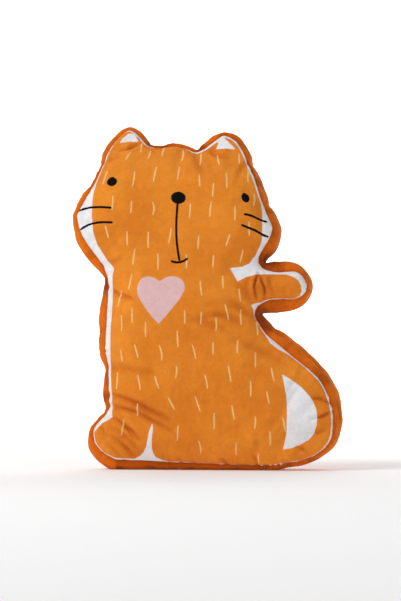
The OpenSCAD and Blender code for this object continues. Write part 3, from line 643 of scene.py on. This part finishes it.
# Brush ticks: middle x, z, how far the top leans to the right, and bend, for each
TICKS_MM = [
    (-74, 374, 1, 0), (-88, 364, 5, 0), (-64, 365, 2, 0), (-48, 369, 1, 0), (-25, 364, 0, 1),
    (-4, 359, 0, 1), (17, 358, -4, 0), (41, 359, -1, 0), (-114, 338, 5, 0), (-80, 336, 2, 1),
    (-55, 341, 3, 0), (-28, 342, 1, 0), (-3, 333, -1, 0), (13, 322, 1, 0), (28, 333, -1, 0),
    (52, 340, 0, 0), (-104, 308, 1, 0), (-82, 303, 1, 0), (-57, 301, 0, 3), (-14, 298, 1, 0),
    (10, 300, 2, 0), (38, 295, 0, 0), (59, 311, 0, 1), (-111, 275, -3, 0), (-87, 267, 0, 0),
    (-62, 265, 0, 0), (-37, 270, 3, 0), (-4, 262, 1, 0), (30, 264, 5, 0), (54, 277, 0, 0),
    (-79, 246, 3, 0), (-51, 240, 0, 0), (-18, 240, 0, 1), (13, 240, 1, 0), (45, 246, 4, 0),
    (-84, 217, 4, 0), (-97, 198, 4, 0), (-1, 209, -2, 0), (24, 216, -1, 0), (43, 201, -2, 0),
    (-81, 178, 0, 0), (-94, 169, 0, 0), (-65, 162, 0, 0), (-20, 176, 0, 0), (-1, 175, 1, 0),
    (16, 168, 0, 1), (28, 182, -4, 0), (44, 176, -1, 0), (62, 163, -2, 0), (-94, 132, -2, 0),
    (-76, 137, -4, 0), (-48, 135, -3, 2), (-28, 151, -1, 0), (-9, 136, -4, 0),
    (13, 140, 0, 0), (41, 142, 0, -1), (61, 127, 0, 0), (-100, 103, 1, 0), (-73, 101, -3, 0),
    (-52, 101, -5, 0), (-30, 113, 1, 1), (5, 102, -3, 1), (32, 111, -3, 0), (56, 94, 0, 0),
    (81, 110, -4, 0), (-75, 70, 0, 0), (-35, 77, -8, 0), (-5, 77, -6, 0), (14, 57, 0, 0),
    (36, 67, -3, 0), (61, 55, 1, 0), (76, 84, -3, 0), (94, 53, -3, 0), (-93, 49, 3, 0),
    (-28, 43, 1, 0), (-3, 27, -2, 1), (39, 25, 1, 0), (78, 37, 0, 0), (64, 11, 0, 0)]
TICK_HALF_MM, TICK_HALF_WIDTH_MM, TICK_NEAR_MM, TICK_GAP_MM = 8.2, 0.85, 4.5, 2.5


def signed(at, line):
    """Distance from a closed line, above 0 inside it"""
    return np.where(inside(at, line), 1, -1) * to_line(at, line)[0]


def print_marks(at):
    """Distances to the print's edges, and places along and across the nearest tick"""
    distance, number = to_line(at, seam)
    places, widths = np.array(BORDER_MM).T
    at_corner = np.interp(places, np.arange(len(corner_at) + 1), corner_at + [ring])
    orange = distance - np.interp(number, at_corner, widths)
    for line in WHITE_MM.values():
        orange = np.minimum(orange, -signed(at, np.array(line) * STRETCH))
    first, second = [np.array(HEART_MM + HEART_MM)[i:j + 1] for i, j in
                     (HEART_CORNERS, (HEART_CORNERS[1], HEART_CORNERS[0] + len(HEART_MM)))]
    heart = np.concatenate([smooth_line(first, 1.5)[0], smooth_line(second, 1.5)[0][1:-1]])
    smudge = SMUDGE_RADIUS_MM - np.linalg.norm(at - SMUDGE_MM * STRETCH, axis=1)
    edges = np.stack([orange, signed(at, heart * STRETCH), smudge], 1)
    tick = np.zeros((len(at), 3))
    best, second = np.full(len(at), 1e9), np.full(len(at), 1e9)
    for k, (x, z, lean, bend) in enumerate(TICKS_MM):
        half_length = TICK_HALF_MM * (1 + 0.14 * math.sin(5.1 * k))     # each a little different,
        half_length *= np.interp(z, (352, 366), (1, 0.68))              # shorter on the crown
        v = np.array([lean / 2, half_length]) / math.hypot(lean / 2, half_length)
        away = at - np.array([x, z]) * STRETCH
        t, across = away @ v / half_length, away @ [v[1], -v[0]]
        across = across - (bend + 0.5 * math.sin(3.7 * k)) * (1 - t * t) * 0.6
        d = np.hypot(across, np.maximum(0, np.abs(t) - 1) * half_length)
        closer = d < best
        tick[closer, :2] = np.stack([t, across], 1)[closer]
        second = np.minimum(second, np.maximum(best, d))
        best = np.minimum(best, d)
    # Midway between two ticks the nearest one changes, and neither is drawn
    tick[:, 2] = (best < TICK_NEAR_MM) & (second - best > TICK_GAP_MM)
    return edges, tick


def dye(red, green, blue):
    """A cloth colour given as it looks on a screen, 0 to 255, for the shader"""
    return tuple(((v / 255 + 0.055) / 1.055) ** 2.4 if v > 10 else v / 3294
                 for v in (red, green, blue)) + (1,)


def value_of(tree, operation, *values, clamp=False):
    return add_node(tree, "ShaderNodeMath", dict(enumerate(values)), operation=operation,
                    use_clamp=clamp).outputs[0]


def mix_colours(tree, share, a, b):
    made = add_node(tree, "ShaderNodeMix", {"Factor": share}, data_type="RGBA")
    for socket, value in zip(("A", "B"), (a, b)):
        target = [s for s in made.inputs if s.name == socket and s.type == "RGBA"][0]
        if isinstance(value, bpy.types.NodeSocket):
            tree.links.new(value, target)
        else:
            target.default_value = value
    return [s for s in made.outputs if s.type == "RGBA"][0]


def shared_effect(name, outputs, **inputs):
    """A shader node group with a Place input, number inputs and the named outputs"""
    group = bpy.data.node_groups.new(name, "ShaderNodeTree")
    group.interface.new_socket(name="Place", in_out="INPUT", socket_type="NodeSocketVector")
    for key, value in inputs.items():
        group.interface.new_socket(name=key, in_out="INPUT",
                                   socket_type="NodeSocketFloat").default_value = value
    for key in outputs:
        group.interface.new_socket(name=key, in_out="OUTPUT", socket_type="NodeSocketFloat")
    return group, add_node(group, "NodeGroupInput"), add_node(group, "NodeGroupOutput")


# The pile: tufts under a millimetre, brushed patches a few millimetres across where the
# nap leans another way, and slow changes in the dye.
pile, given, put = shared_effect("velour_pile", ("Tone", "Roughness", "Height"),
                                 Tuft=1400.0, Brush=130.0, Dye=28.0)
tuft, brush, slow = (add_node(pile, "ShaderNodeTexNoise", {
    "Vector": given.outputs["Place"], "Scale": given.outputs[scale], **inputs}).outputs["Fac"]
    for scale, inputs in (("Tuft", {"Detail": 2.0, "Roughness": 0.6}),
                          ("Brush", {"Detail": 3.0, "Roughness": 0.55, "Distortion": 0.8}),
                          ("Dye", {"Detail": 2.0})))
tone = value_of(pile, "MULTIPLY_ADD", tuft, 0.56, 0.55)
tone = value_of(pile, "MULTIPLY_ADD", brush, 0.26, tone)
tone = value_of(pile, "MULTIPLY_ADD", slow, 0.12, tone)
pile.links.new(tone, put.inputs["Tone"])
pile.links.new(value_of(pile, "MULTIPLY_ADD", brush, -0.25, 1.0), put.inputs["Roughness"])
pile.links.new(value_of(pile, "MULTIPLY_ADD", brush, 0.5, tuft), put.inputs["Height"])


def velour(name, sheen_tint):
    """A pile-cloth material without its colour: (material, tree, shader, tone)"""
    material, tree = blank_material(name)
    place = add_node(tree, "ShaderNodeAttribute", attribute_name="cloth").outputs["Vector"]
    grain = add_node(tree, "ShaderNodeGroup", node_tree=pile)
    tree.links.new(place, grain.inputs["Place"])
    for key, value in (("Tuft", 1400.0), ("Brush", 130.0), ("Dye", 28.0)):
        grain.inputs[key].default_value = value
    bump = add_node(tree, "ShaderNodeBump", {"Height": grain.outputs["Height"], "Strength": 0.5,
                                             "Distance": 0.0008})
    shader = add_node(tree, "ShaderNodeBsdfPrincipled", {
        "Roughness": grain.outputs["Roughness"], "Normal": bump.outputs["Normal"],
        "Specular IOR Level": 0.15, "Sheen Weight": 0.22, "Sheen Roughness": 0.45,
        "Sheen Tint": sheen_tint})
    finish_material(tree, shader)
    return material, tree, shader, grain.outputs["Tone"], place


def with_painted_shade(tree, colour, deep, share):
    """A colour that turns deeper where the crease attribute carries painted shade: creases, folds,
    seams and base
    """
    painted_shade_share = add_node(tree, "ShaderNodeAttribute", attribute_name="crease").outputs["Fac"]
    return mix_colours(tree, value_of(tree, "MULTIPLY", painted_shade_share, share), colour, deep)


def shaded(tree, colour, tone):
    """A colour made lighter or darker by a number"""
    made = add_node(tree, "ShaderNodeVectorMath", operation="SCALE")
    tree.links.new(colour, made.inputs[0])
    tree.links.new(tone, made.inputs["Scale"])
    return made.outputs[0]


PRINT_ORANGE, PRINT_DEEP, PRINT_LIGHT = dye(238, 139, 40), dye(219, 116, 28), dye(248, 153, 48)
PRINT_WHITE, PRINT_PINK, PRINT_TICK = dye(243, 243, 245), dye(236, 194, 194), dye(250, 210, 142)
printed, tree, shader, tone, place = velour("printed_velour", (1, 0.72, 0.45, 1))
marks = add_node(tree, "ShaderNodeSeparateXYZ", {"Vector": add_node(
    tree, "ShaderNodeAttribute", attribute_name="print_edges").outputs["Vector"]})
stroke = add_node(tree, "ShaderNodeSeparateXYZ", {"Vector": add_node(
    tree, "ShaderNodeAttribute", attribute_name="tick").outputs["Vector"]})
jitter = add_node(tree, "ShaderNodeTexNoise", {
    "Vector": place, "Scale": 900.0, "Detail": 1.0}).outputs["Fac"]
jitter = value_of(tree, "MULTIPLY_ADD", jitter, 0.7, -0.35)     # pile ruffles the print's edges


def print_mask(distance, softness):
    edge = value_of(tree, "ADD", distance, jitter)
    return value_of(tree, "MULTIPLY_ADD", edge, 1 / softness, 0.5, clamp=True)


cloud = add_node(tree, "ShaderNodeTexNoise", {"Vector": place, "Scale": 17.0, "Detail": 4.0,
                                              "Roughness": 0.6}).outputs["Fac"]
cloud = value_of(tree, "MULTIPLY_ADD", cloud, 3.0, -1.0, clamp=True)
orange = mix_colours(tree, cloud, PRINT_DEEP, PRINT_LIGHT)
orange = mix_colours(tree, 0.45, orange, PRINT_ORANGE)
# Painted shade: the print's orange turns deep red-brown where the crease attribute carries shade
orange = with_painted_shade(tree, orange, dye(186, 76, 14), 0.75)
lengthways, sideways, in_reach = (stroke.outputs[axis] for axis in "XYZ")
taper = value_of(tree, "MULTIPLY_ADD", value_of(tree, "MULTIPLY", lengthways, lengthways),
                 -0.4 * TICK_HALF_WIDTH_MM, TICK_HALF_WIDTH_MM)
beside = value_of(tree, "SUBTRACT", taper, value_of(tree, "ABSOLUTE", sideways))
beyond = value_of(tree, "SUBTRACT", 1.0, value_of(tree, "ABSOLUTE", lengthways))
beyond = value_of(tree, "MULTIPLY", beyond, TICK_HALF_MM)
tick_mask = print_mask(value_of(tree, "MINIMUM", beside, beyond), 0.7)
tick_mask = value_of(tree, "MULTIPLY", tick_mask, value_of(tree, "GREATER_THAN", in_reach, 0.97))
colour = mix_colours(tree, value_of(tree, "MULTIPLY", tick_mask, 0.9), orange, PRINT_TICK)
smudged = value_of(tree, "MULTIPLY_ADD", marks.outputs["Z"], 0.06, 0.12, clamp=True)
colour = mix_colours(tree, smudged, colour, dye(150, 90, 40))
colour = mix_colours(tree, print_mask(marks.outputs["Y"], 0.8), colour, PRINT_PINK)
colour = mix_colours(tree, print_mask(marks.outputs["X"], 0.8), PRINT_WHITE, colour)
tree.links.new(shaded(tree, colour, tone), shader.inputs["Base Color"])

for body in BODIES:
    piece, used = cloth_piece(f"{body}_printed_front", FRONT, body, printed)
    edges_mm, tick_mm = print_marks(points[used[:len(used) // 2]][:, [0, 2]])
    for key, values in (("print_edges", edges_mm), ("tick", tick_mm)):
        held = piece.data.attributes.new(key, "FLOAT_VECTOR", "POINT")
        held.data.foreach_set("vector", np.concatenate([values, values]).astype(np.float32).ravel())
    fasten(piece, body, "printed_velour", f"{body}_front_cloth")

# ---------------------------------------------------------------- plain back and side strip
# The back and the strip are cut from one plain deep orange velour. The strip runs on under
# the cat as the flat base.
plain, tree, shader, tone, place = velour("plain_velour", (1, 0.5, 0.12, 1))
PLAIN_ORANGE, PLAIN_DEEP = dye(240, 124, 18), dye(224, 102, 8)
cloud = add_node(tree, "ShaderNodeTexNoise", {
    "Vector": place, "Scale": 24.0, "Detail": 4.0}).outputs["Fac"]
cloud = value_of(tree, "MULTIPLY_ADD", cloud, 1.2, -0.1, clamp=True)
# Painted shade: the plain orange turns dark brown where the crease attribute carries shade
orange = with_painted_shade(tree, mix_colours(tree, cloud, PLAIN_DEEP, PLAIN_ORANGE), dye(132, 42, 3), 0.85)
tree.links.new(shaded(tree, orange, tone), shader.inputs["Base Color"])
for body in BODIES:
    for kind, cloth, node in (("plain_back", BACK, "back_cloth"),
                              ("plain_strip", STRIP, "side_strip")):
        piece, _ = cloth_piece(f"{body}_{kind}", cloth, body, plain)
        fasten(piece, body, "plain_velour", f"{body}_{node}")
piece, _ = cloth_piece("flat_base", BASE, "torso", plain)
fasten(piece, "torso", "plain_velour", "base_strip")

# ---------------------------------------------------------------- fibre filling
# Fluffed polyester fibre, packed into every part of the cover. It touches the cloth all
# round, and its surface is lumpy.
FILLING_GAP_MM, FIBRE_LUMP_MM, FIBRE_LUMP_SIZE_MM = 2.2, 1.2, 7
NARROW_MM, NARROW_EXTRA_MM, NARROW_REACH_MM = 4, 1.5, 6     # further in where the strip is narrow
fibre, tree = blank_material("polyester_fibre")
place = add_node(tree, "ShaderNodeAttribute", attribute_name="cloth").outputs["Vector"]
strands = add_node(tree, "ShaderNodeTexNoise", {"Vector": place, "Scale": 320.0, "Detail": 4.0,
                                                "Roughness": 0.7, "Distortion": 2.5}).outputs["Fac"]
bump = add_node(tree, "ShaderNodeBump", {"Height": strands, "Strength": 0.7, "Distance": 0.0015})
shader = add_node(tree, "ShaderNodeBsdfPrincipled", {
    "Base Color": mix_colours(tree, strands, dye(222, 222, 218), dye(250, 250, 248)),
    "Roughness": value_of(tree, "MULTIPLY_ADD", strands, 0.2, 0.75),
    "Normal": bump.outputs["Normal"], "Sheen Weight": 0.3, "Subsurface Weight": 0.1})
finish_material(tree, shader)
facing = normal
for _ in range(6):                          # evened out, so that puckers don't turn it
    around = facing[quads].mean(1)
    total = np.zeros_like(facing)
    for corner in range(4):
        np.add.at(total, quads[:, corner], around)
    facing = total / np.linalg.norm(total, axis=1)[:, None]
for body in BODIES:
    mine = quads[body_of == BODIES.index(body)]
    used, local = np.unique(mine, return_inverse=True)
    local = local.reshape(-1, 4).tolist()
    tight = NARROW_EXTRA_MM * np.exp(-(off_seam[used] / NARROW_REACH_MM) ** 2)
    tight *= strip_shows[used] < NARROW_MM
    depth = FILLING_GAP_MM + tight + FIBRE_LUMP_MM * np.array(
        [0.5 + 0.5 * noise.noise(Vector(p) / FIBRE_LUMP_SIZE_MM) for p in points[used]])
    inner = points[used] - facing[used] * depth[:, None]
    pairs = {(a, b) for q in local for a, b in zip(q, q[1:] + q[:1])}
    follow = {b: a for a, b in pairs if (b, a) not in pairs}
    caps = []
    while follow:                            # close each fold with a fan
        start = next(iter(follow))
        loop, v = [], start
        while v in follow:
            loop.append(v)
            v = follow.pop(v)
        inner = np.concatenate([inner, inner[loop].mean(0)[None]])
        caps += [[a, b, len(inner) - 1] for a, b in zip(loop, loop[1:] + loop[:1])]
    piece = add_mesh(f"{body}_fibre", inner * MM, local + caps)
    place = piece.data.attributes.new("cloth", "FLOAT_VECTOR", "POINT")
    place.data.foreach_set("vector", inner.astype(np.float32).ravel() * MM)
    piece.data.materials.append(fibre)
    fasten(piece, body, "polyester_fibre", f"{body}_filling")

# ---------------------------------------------------------------- stitches
# Thread lies in the two seams in short lock stitches. Each stitch is a bent piece of
# thread; the rule repeats it along a route, turned the way the route's points say.
STITCH_SIDES, STITCH_POINTS = 6, 5
stitching = bpy.data.node_groups.new("stitching", "GeometryNodeTree")
for key, kind in (("Route", "Geometry"), ("Spacing", "Float"), ("Thread", "Float"),
                  ("Rise", "Float"), ("Finish", "Material")):
    stitching.interface.new_socket(name=key, in_out="INPUT", socket_type="NodeSocket" + kind)
stitching.interface.new_socket(name="Stitches", in_out="OUTPUT", socket_type="NodeSocketGeometry")
given = add_node(stitching, "NodeGroupInput")
route = add_node(stitching, "GeometryNodeMeshToCurve", {"Mesh": given.outputs["Route"]})
evenly = add_node(stitching, "GeometryNodeResampleCurve", {
    "Curve": route.outputs["Curve"], "Length": given.outputs["Spacing"]}, mode="LENGTH")
bar = add_node(stitching, "GeometryNodeCurvePrimitiveLine", {"Start": (-1, 0, 0), "End": (1, 0, 0)})
bar = add_node(stitching, "GeometryNodeResampleCurve", {
    "Curve": bar.outputs["Curve"], "Count": STITCH_POINTS}, mode="COUNT")
where = add_node(stitching, "ShaderNodeSeparateXYZ", {
    "Vector": add_node(stitching, "GeometryNodeInputPosition").outputs["Position"]})
square = value_of(stitching, "MULTIPLY", where.outputs["X"], where.outputs["X"])
lift = value_of(stitching, "MULTIPLY", value_of(stitching, "MULTIPLY_ADD", square, -1.6, 1.0),
                given.outputs["Rise"])
bar = add_node(stitching, "GeometryNodeSetPosition", {
    "Geometry": bar.outputs["Curve"],
    "Offset": add_node(stitching, "ShaderNodeCombineXYZ", {"Z": lift}).outputs["Vector"]})
ring_profile = add_node(stitching, "GeometryNodeCurvePrimitiveCircle", {
    "Resolution": STITCH_SIDES,
    "Radius": value_of(stitching, "MULTIPLY", given.outputs["Thread"], 0.5)})
stitch = add_node(stitching, "GeometryNodeCurveToMesh", {
    "Curve": bar.outputs["Geometry"], "Profile Curve": ring_profile.outputs["Curve"],
    "Fill Caps": True})


def stored(name, kind):
    made = add_node(stitching, "GeometryNodeInputNamedAttribute", {"Name": name}, data_type=kind)
    return [s for s in made.outputs if s.enabled][0]


turn = add_node(stitching, "FunctionNodeAxesToRotation", {
    "Primary Axis": stored("outward", "FLOAT_VECTOR"),
    "Secondary Axis": stored("along", "FLOAT_VECTOR")},
    primary_axis="Z", secondary_axis="X")
scale = add_node(stitching, "ShaderNodeCombineXYZ", {
    "X": stored("half", "FLOAT"), "Y": 1.0, "Z": 1.0})
placed = add_node(stitching, "GeometryNodeInstanceOnPoints", {
    "Points": evenly.outputs["Curve"], "Instance": stitch.outputs["Mesh"],
    "Rotation": turn.outputs["Rotation"], "Scale": scale.outputs["Vector"]})
real = add_node(stitching, "GeometryNodeRealizeInstances", {
    "Geometry": placed.outputs["Instances"]})
coloured = add_node(stitching, "GeometryNodeSetMaterial", {
    "Geometry": real.outputs["Geometry"], "Material": given.outputs["Finish"]})
smoothed = add_node(stitching, "GeometryNodeSetShadeSmooth", {
    "Geometry": coloured.outputs["Geometry"]})
add_node(stitching, "NodeGroupOutput", {"Stitches": smoothed.outputs["Geometry"]})


def sew(name, routes, spacing, thread, rise, finish):
    """Stitches along routes of (places, directions along a stitch, outward, half lengths)"""
    mesh = bpy.data.meshes.new(name)
    links, start = [], 0
    for r in routes:
        links += [(start + i, start + i + 1) for i in range(len(r[0]) - 1)]
        start += len(r[0])
    joined = [np.concatenate([np.asarray(r[k], float) for r in routes]) for k in range(4)]
    mesh.from_pydata([tuple(p) for p in joined[0]], links, [])
    for key, kind, field, values in (("along", "FLOAT_VECTOR", "vector", joined[1]),
                                     ("outward", "FLOAT_VECTOR", "vector", joined[2]),
                                     ("half", "FLOAT", "value", joined[3])):
        kept = mesh.attributes.new(key, kind, "POINT")
        kept.data.foreach_set(field, values.astype(np.float32).ravel())
    carrier = bpy.data.objects.new(name + "_route", mesh)
    scene.collection.objects.link(carrier)
    rule = carrier.modifiers.new("stitching", "NODES")
    rule.node_group = stitching
    values = {"Spacing": spacing, "Thread": thread, "Rise": rise, "Finish": finish}
    for item in stitching.interface.items_tree:
        if item.in_out == "INPUT" and item.name in values:
            rule[item.identifier] = values[item.name]
    made = carrier.evaluated_get(bpy.context.evaluated_depsgraph_get())
    sewn = bpy.data.meshes.new_from_object(made)
    bpy.data.objects.remove(carrier)
    sewn.name = name
    piece = bpy.data.objects.new(name, sewn)
    scene.collection.objects.link(piece)
    return piece


def thread_material(name, colour, light, shine):
    """Twisted thread: the twist shows as fine bands, with a dull shine"""
    material, tree = blank_material(name)
    place = add_node(tree, "ShaderNodeTexCoord").outputs["Object"]
    twist = add_node(tree, "ShaderNodeTexWave", {
        "Vector": place, "Scale": 900.0, "Distortion": 1.5},
        bands_direction="DIAGONAL").outputs["Fac"]
    fuzz = add_node(tree, "ShaderNodeTexNoise", {
        "Vector": place, "Scale": 500.0, "Detail": 2.0}).outputs["Fac"]
    bump = add_node(tree, "ShaderNodeBump", {"Height": twist, "Strength": 0.3, "Distance": 0.0001})
    finish_material(tree, add_node(tree, "ShaderNodeBsdfPrincipled", {
        "Base Color": mix_colours(tree, fuzz, colour, light),
        "Roughness": value_of(tree, "MULTIPLY_ADD", fuzz, 0.25, 0.42),
        "Normal": bump.outputs["Normal"], "Specular IOR Level": shine}))
    return material


orange_thread = thread_material("orange_thread", dye(200, 84, 14), dye(228, 112, 30), 0.3)
SEAM_PITCH_MM, SEAM_THREAD_MM, SEAM_RISE_MM = 2.6, 0.6, 0.1
SEAM_STITCH_HALF = 0.42                     # of the pitch
seam_points = np.intersect1d(quads[cloth_of <= BACK], quads[cloth_of >= STRIP])
seam_tree = KDTree(len(seam_points))
for i, v in enumerate(seam_points):
    seam_tree.insert(Vector(points[v] * MM), i)
seam_tree.balance()


def seam_places(side, first, last):
    """Route in the front or the back seam, from one place in the ring to another"""
    sign = -1 if side == "front" else 1
    numbers = np.arange(first, last + 1) % ring
    x, z = seam[numbers].T
    guess = np.stack([x, sign * STRIP_HALF_MM * depth_share(seam[numbers]), z], 1)
    level = np.stack([heading[numbers, 0], np.zeros(len(numbers)), heading[numbers, 1]], 1)
    x, z = outward[numbers].T
    out = 0.7 * np.stack([x, np.full(len(numbers), float(sign)), z], 1)
    nearest = [seam_tree.find(Vector(p * MM))[0] for p in guess]
    places = np.array([tuple(p) for p in nearest]) + out * SEAM_THREAD_MM / 4 * MM
    return places, level, out, np.full(len(numbers), SEAM_PITCH_MM * SEAM_STITCH_HALF * MM)


SPANS = {"torso": [(NECK_LEFT, ARMPIT)], "paw": [(ARMPIT, NOTCH)],
         "head": [(NOTCH, RIGHT_EAR[0]), (RIGHT_EAR[1], LEFT_EAR[0]), (LEFT_EAR[1], NECK_LEFT)],
         "right_ear": [RIGHT_EAR], "left_ear": [LEFT_EAR]}
for body, spans in SPANS.items():
    routes = [seam_places(side, corner_at[a], corner_at[b] + (ring if b < a else 0))
              for a, b in spans for side in ("front", "back")]
    piece = sew(f"{body}_seam_stitches", routes, SEAM_PITCH_MM * MM, SEAM_THREAD_MM * MM,
                SEAM_RISE_MM * MM, orange_thread)
    fasten(piece, body, "orange_thread", f"{body}_seam_thread")

# ---------------------------------------------------------------- closed filling gap
# The gap through which the fibre went in is closed by hand with ladder stitches, across
# the front seam at the lower right.
LADDER_COUNT, LADDER_PITCH_MM, LADDER_START_MM = 8, 4.0, 62.0
LADDER_HALF_MM, LADDER_THREAD_MM, LADDER_RISE_MM, LADDER_PROUD_MM = 1.7, 0.7, 0.5, 0.6
ladder_x = (LADDER_START_MM + LADDER_PITCH_MM * np.arange(LADDER_COUNT)) * STRETCH[0]
bottom = seam[:corner_at[5]]
ladder_z = np.interp(ladder_x, bottom[:, 0], bottom[:, 1])
route = np.stack([ladder_x, np.full(LADDER_COUNT, -(STRIP_HALF_MM + LADDER_PROUD_MM)),
                  ladder_z - LADDER_PROUD_MM], 1) * MM
piece = sew("ladder_stitches", [(route, np.tile((0.1, 0.5, -1.0), (LADDER_COUNT, 1)),
                                 np.tile((0.0, -1.0, -0.4), (LADDER_COUNT, 1)),
                                 np.full(LADDER_COUNT, LADDER_HALF_MM * MM))],
            LADDER_PITCH_MM * MM, LADDER_THREAD_MM * MM, LADDER_RISE_MM * MM, orange_thread)
fasten(piece, "torso", "orange_thread", "closing_stitches")

# ---------------------------------------------------------------- embroidered face
# Eyes, nose, muzzle line, mouth and whiskers in black satin stitch: threads laid side by
# side across each shape, which stand a little proud of the pile.
black_thread = thread_material("black_thread", dye(6, 6, 7), dye(14, 13, 14), 0.09)
SATIN_SPACING_MM, SATIN_THREAD_MM, SATIN_RISE_MM = 0.42, 0.5, 0.55
STROKE_HALF_MM = 1.35


def on_cloth(x, z):
    hit, up, _, _ = front_tree.ray_cast(Vector((x * MM, -0.2, z * MM)), Vector((0, 1, 0)))
    if hit is None:                          # right at the seam
        hit, up, _, _ = front_tree.find_nearest(Vector((x * MM, -STRIP_HALF_MM * MM, z * MM)))
    return np.array(hit), np.array(up)


def satin(name, line, halves, node):
    """Satin stitch along a line on the cloth; halves is the half width at each point"""
    line, halves = np.array(line) * STRETCH, np.array(halves)
    hits = [on_cloth(*p) for p in line]
    places, up = np.array([h[0] for h in hits]), np.array([h[1] for h in hits])
    run = np.gradient(places, axis=0)
    run /= np.linalg.norm(run, axis=1)[:, None]
    across = np.cross(up, run)
    piece = sew(name, [(places + up * 0.05 * MM, across, up, halves * MM)], SATIN_SPACING_MM * MM,
                SATIN_THREAD_MM * MM, SATIN_RISE_MM * MM, black_thread)
    fasten(piece, "head", "black_thread", node)


def satin_oval(name, centre, width, height, tilt, node):
    """An oval filled with stitches that lie across it"""
    t = np.sin(np.linspace(-1.45, 1.45, 31))     # close together where the oval's ends turn
    lean = math.radians(tilt)
    upright = np.array([-math.sin(lean), math.cos(lean)]) * height / 2
    line = [np.array(centre) + upright * k for k in t]
    satin(name, line, width / 2 * np.sqrt(1 - t * t), node)


satin_oval("left_eye_satin", (-105.2, 333), 12.6, 10.6, 0, "left_eye")
satin_oval("right_eye_satin", (49.7, 313), 9, 11.4, 25, "right_eye")
satin_oval("nose_satin", (-27.3, 313.2), 18.6, 13.8, -6, "nose")
STROKES = {
    "muzzle_line": [(-28, 307.5), (-29.5, 285), (-29, 263), (-26, 241)],
    "mouth": [(-35.5, 240.5), (-31, 239), (-26, 239), (-21, 240.5), (-16.5, 243.5)],
    "upper_left_whisker": [(-145.5, 300.5), (-138, 302.5), (-130, 303.5), (-118, 303.5),
                           (-105.5, 302.5)],
    "lower_left_whisker": [(-143.5, 278.5), (-137, 282), (-130, 284.5), (-117.5, 286),
                           (-104, 285.5)],
    "upper_right_whisker": [(48.5, 294), (55.5, 292.5), (61.5, 290), (68, 287), (73.5, 285.5)],
    "lower_right_whisker": [(45.5, 281.5), (54, 278), (61.5, 275), (69, 270.5), (75, 268.5)]}
for node, line in STROKES.items():
    line = smooth_line(line, 1.5)[0]
    halves = np.full(len(line), STROKE_HALF_MM)
    halves[[0, -1]] *= 0.7
    satin(node + "_satin", line, halves, node)
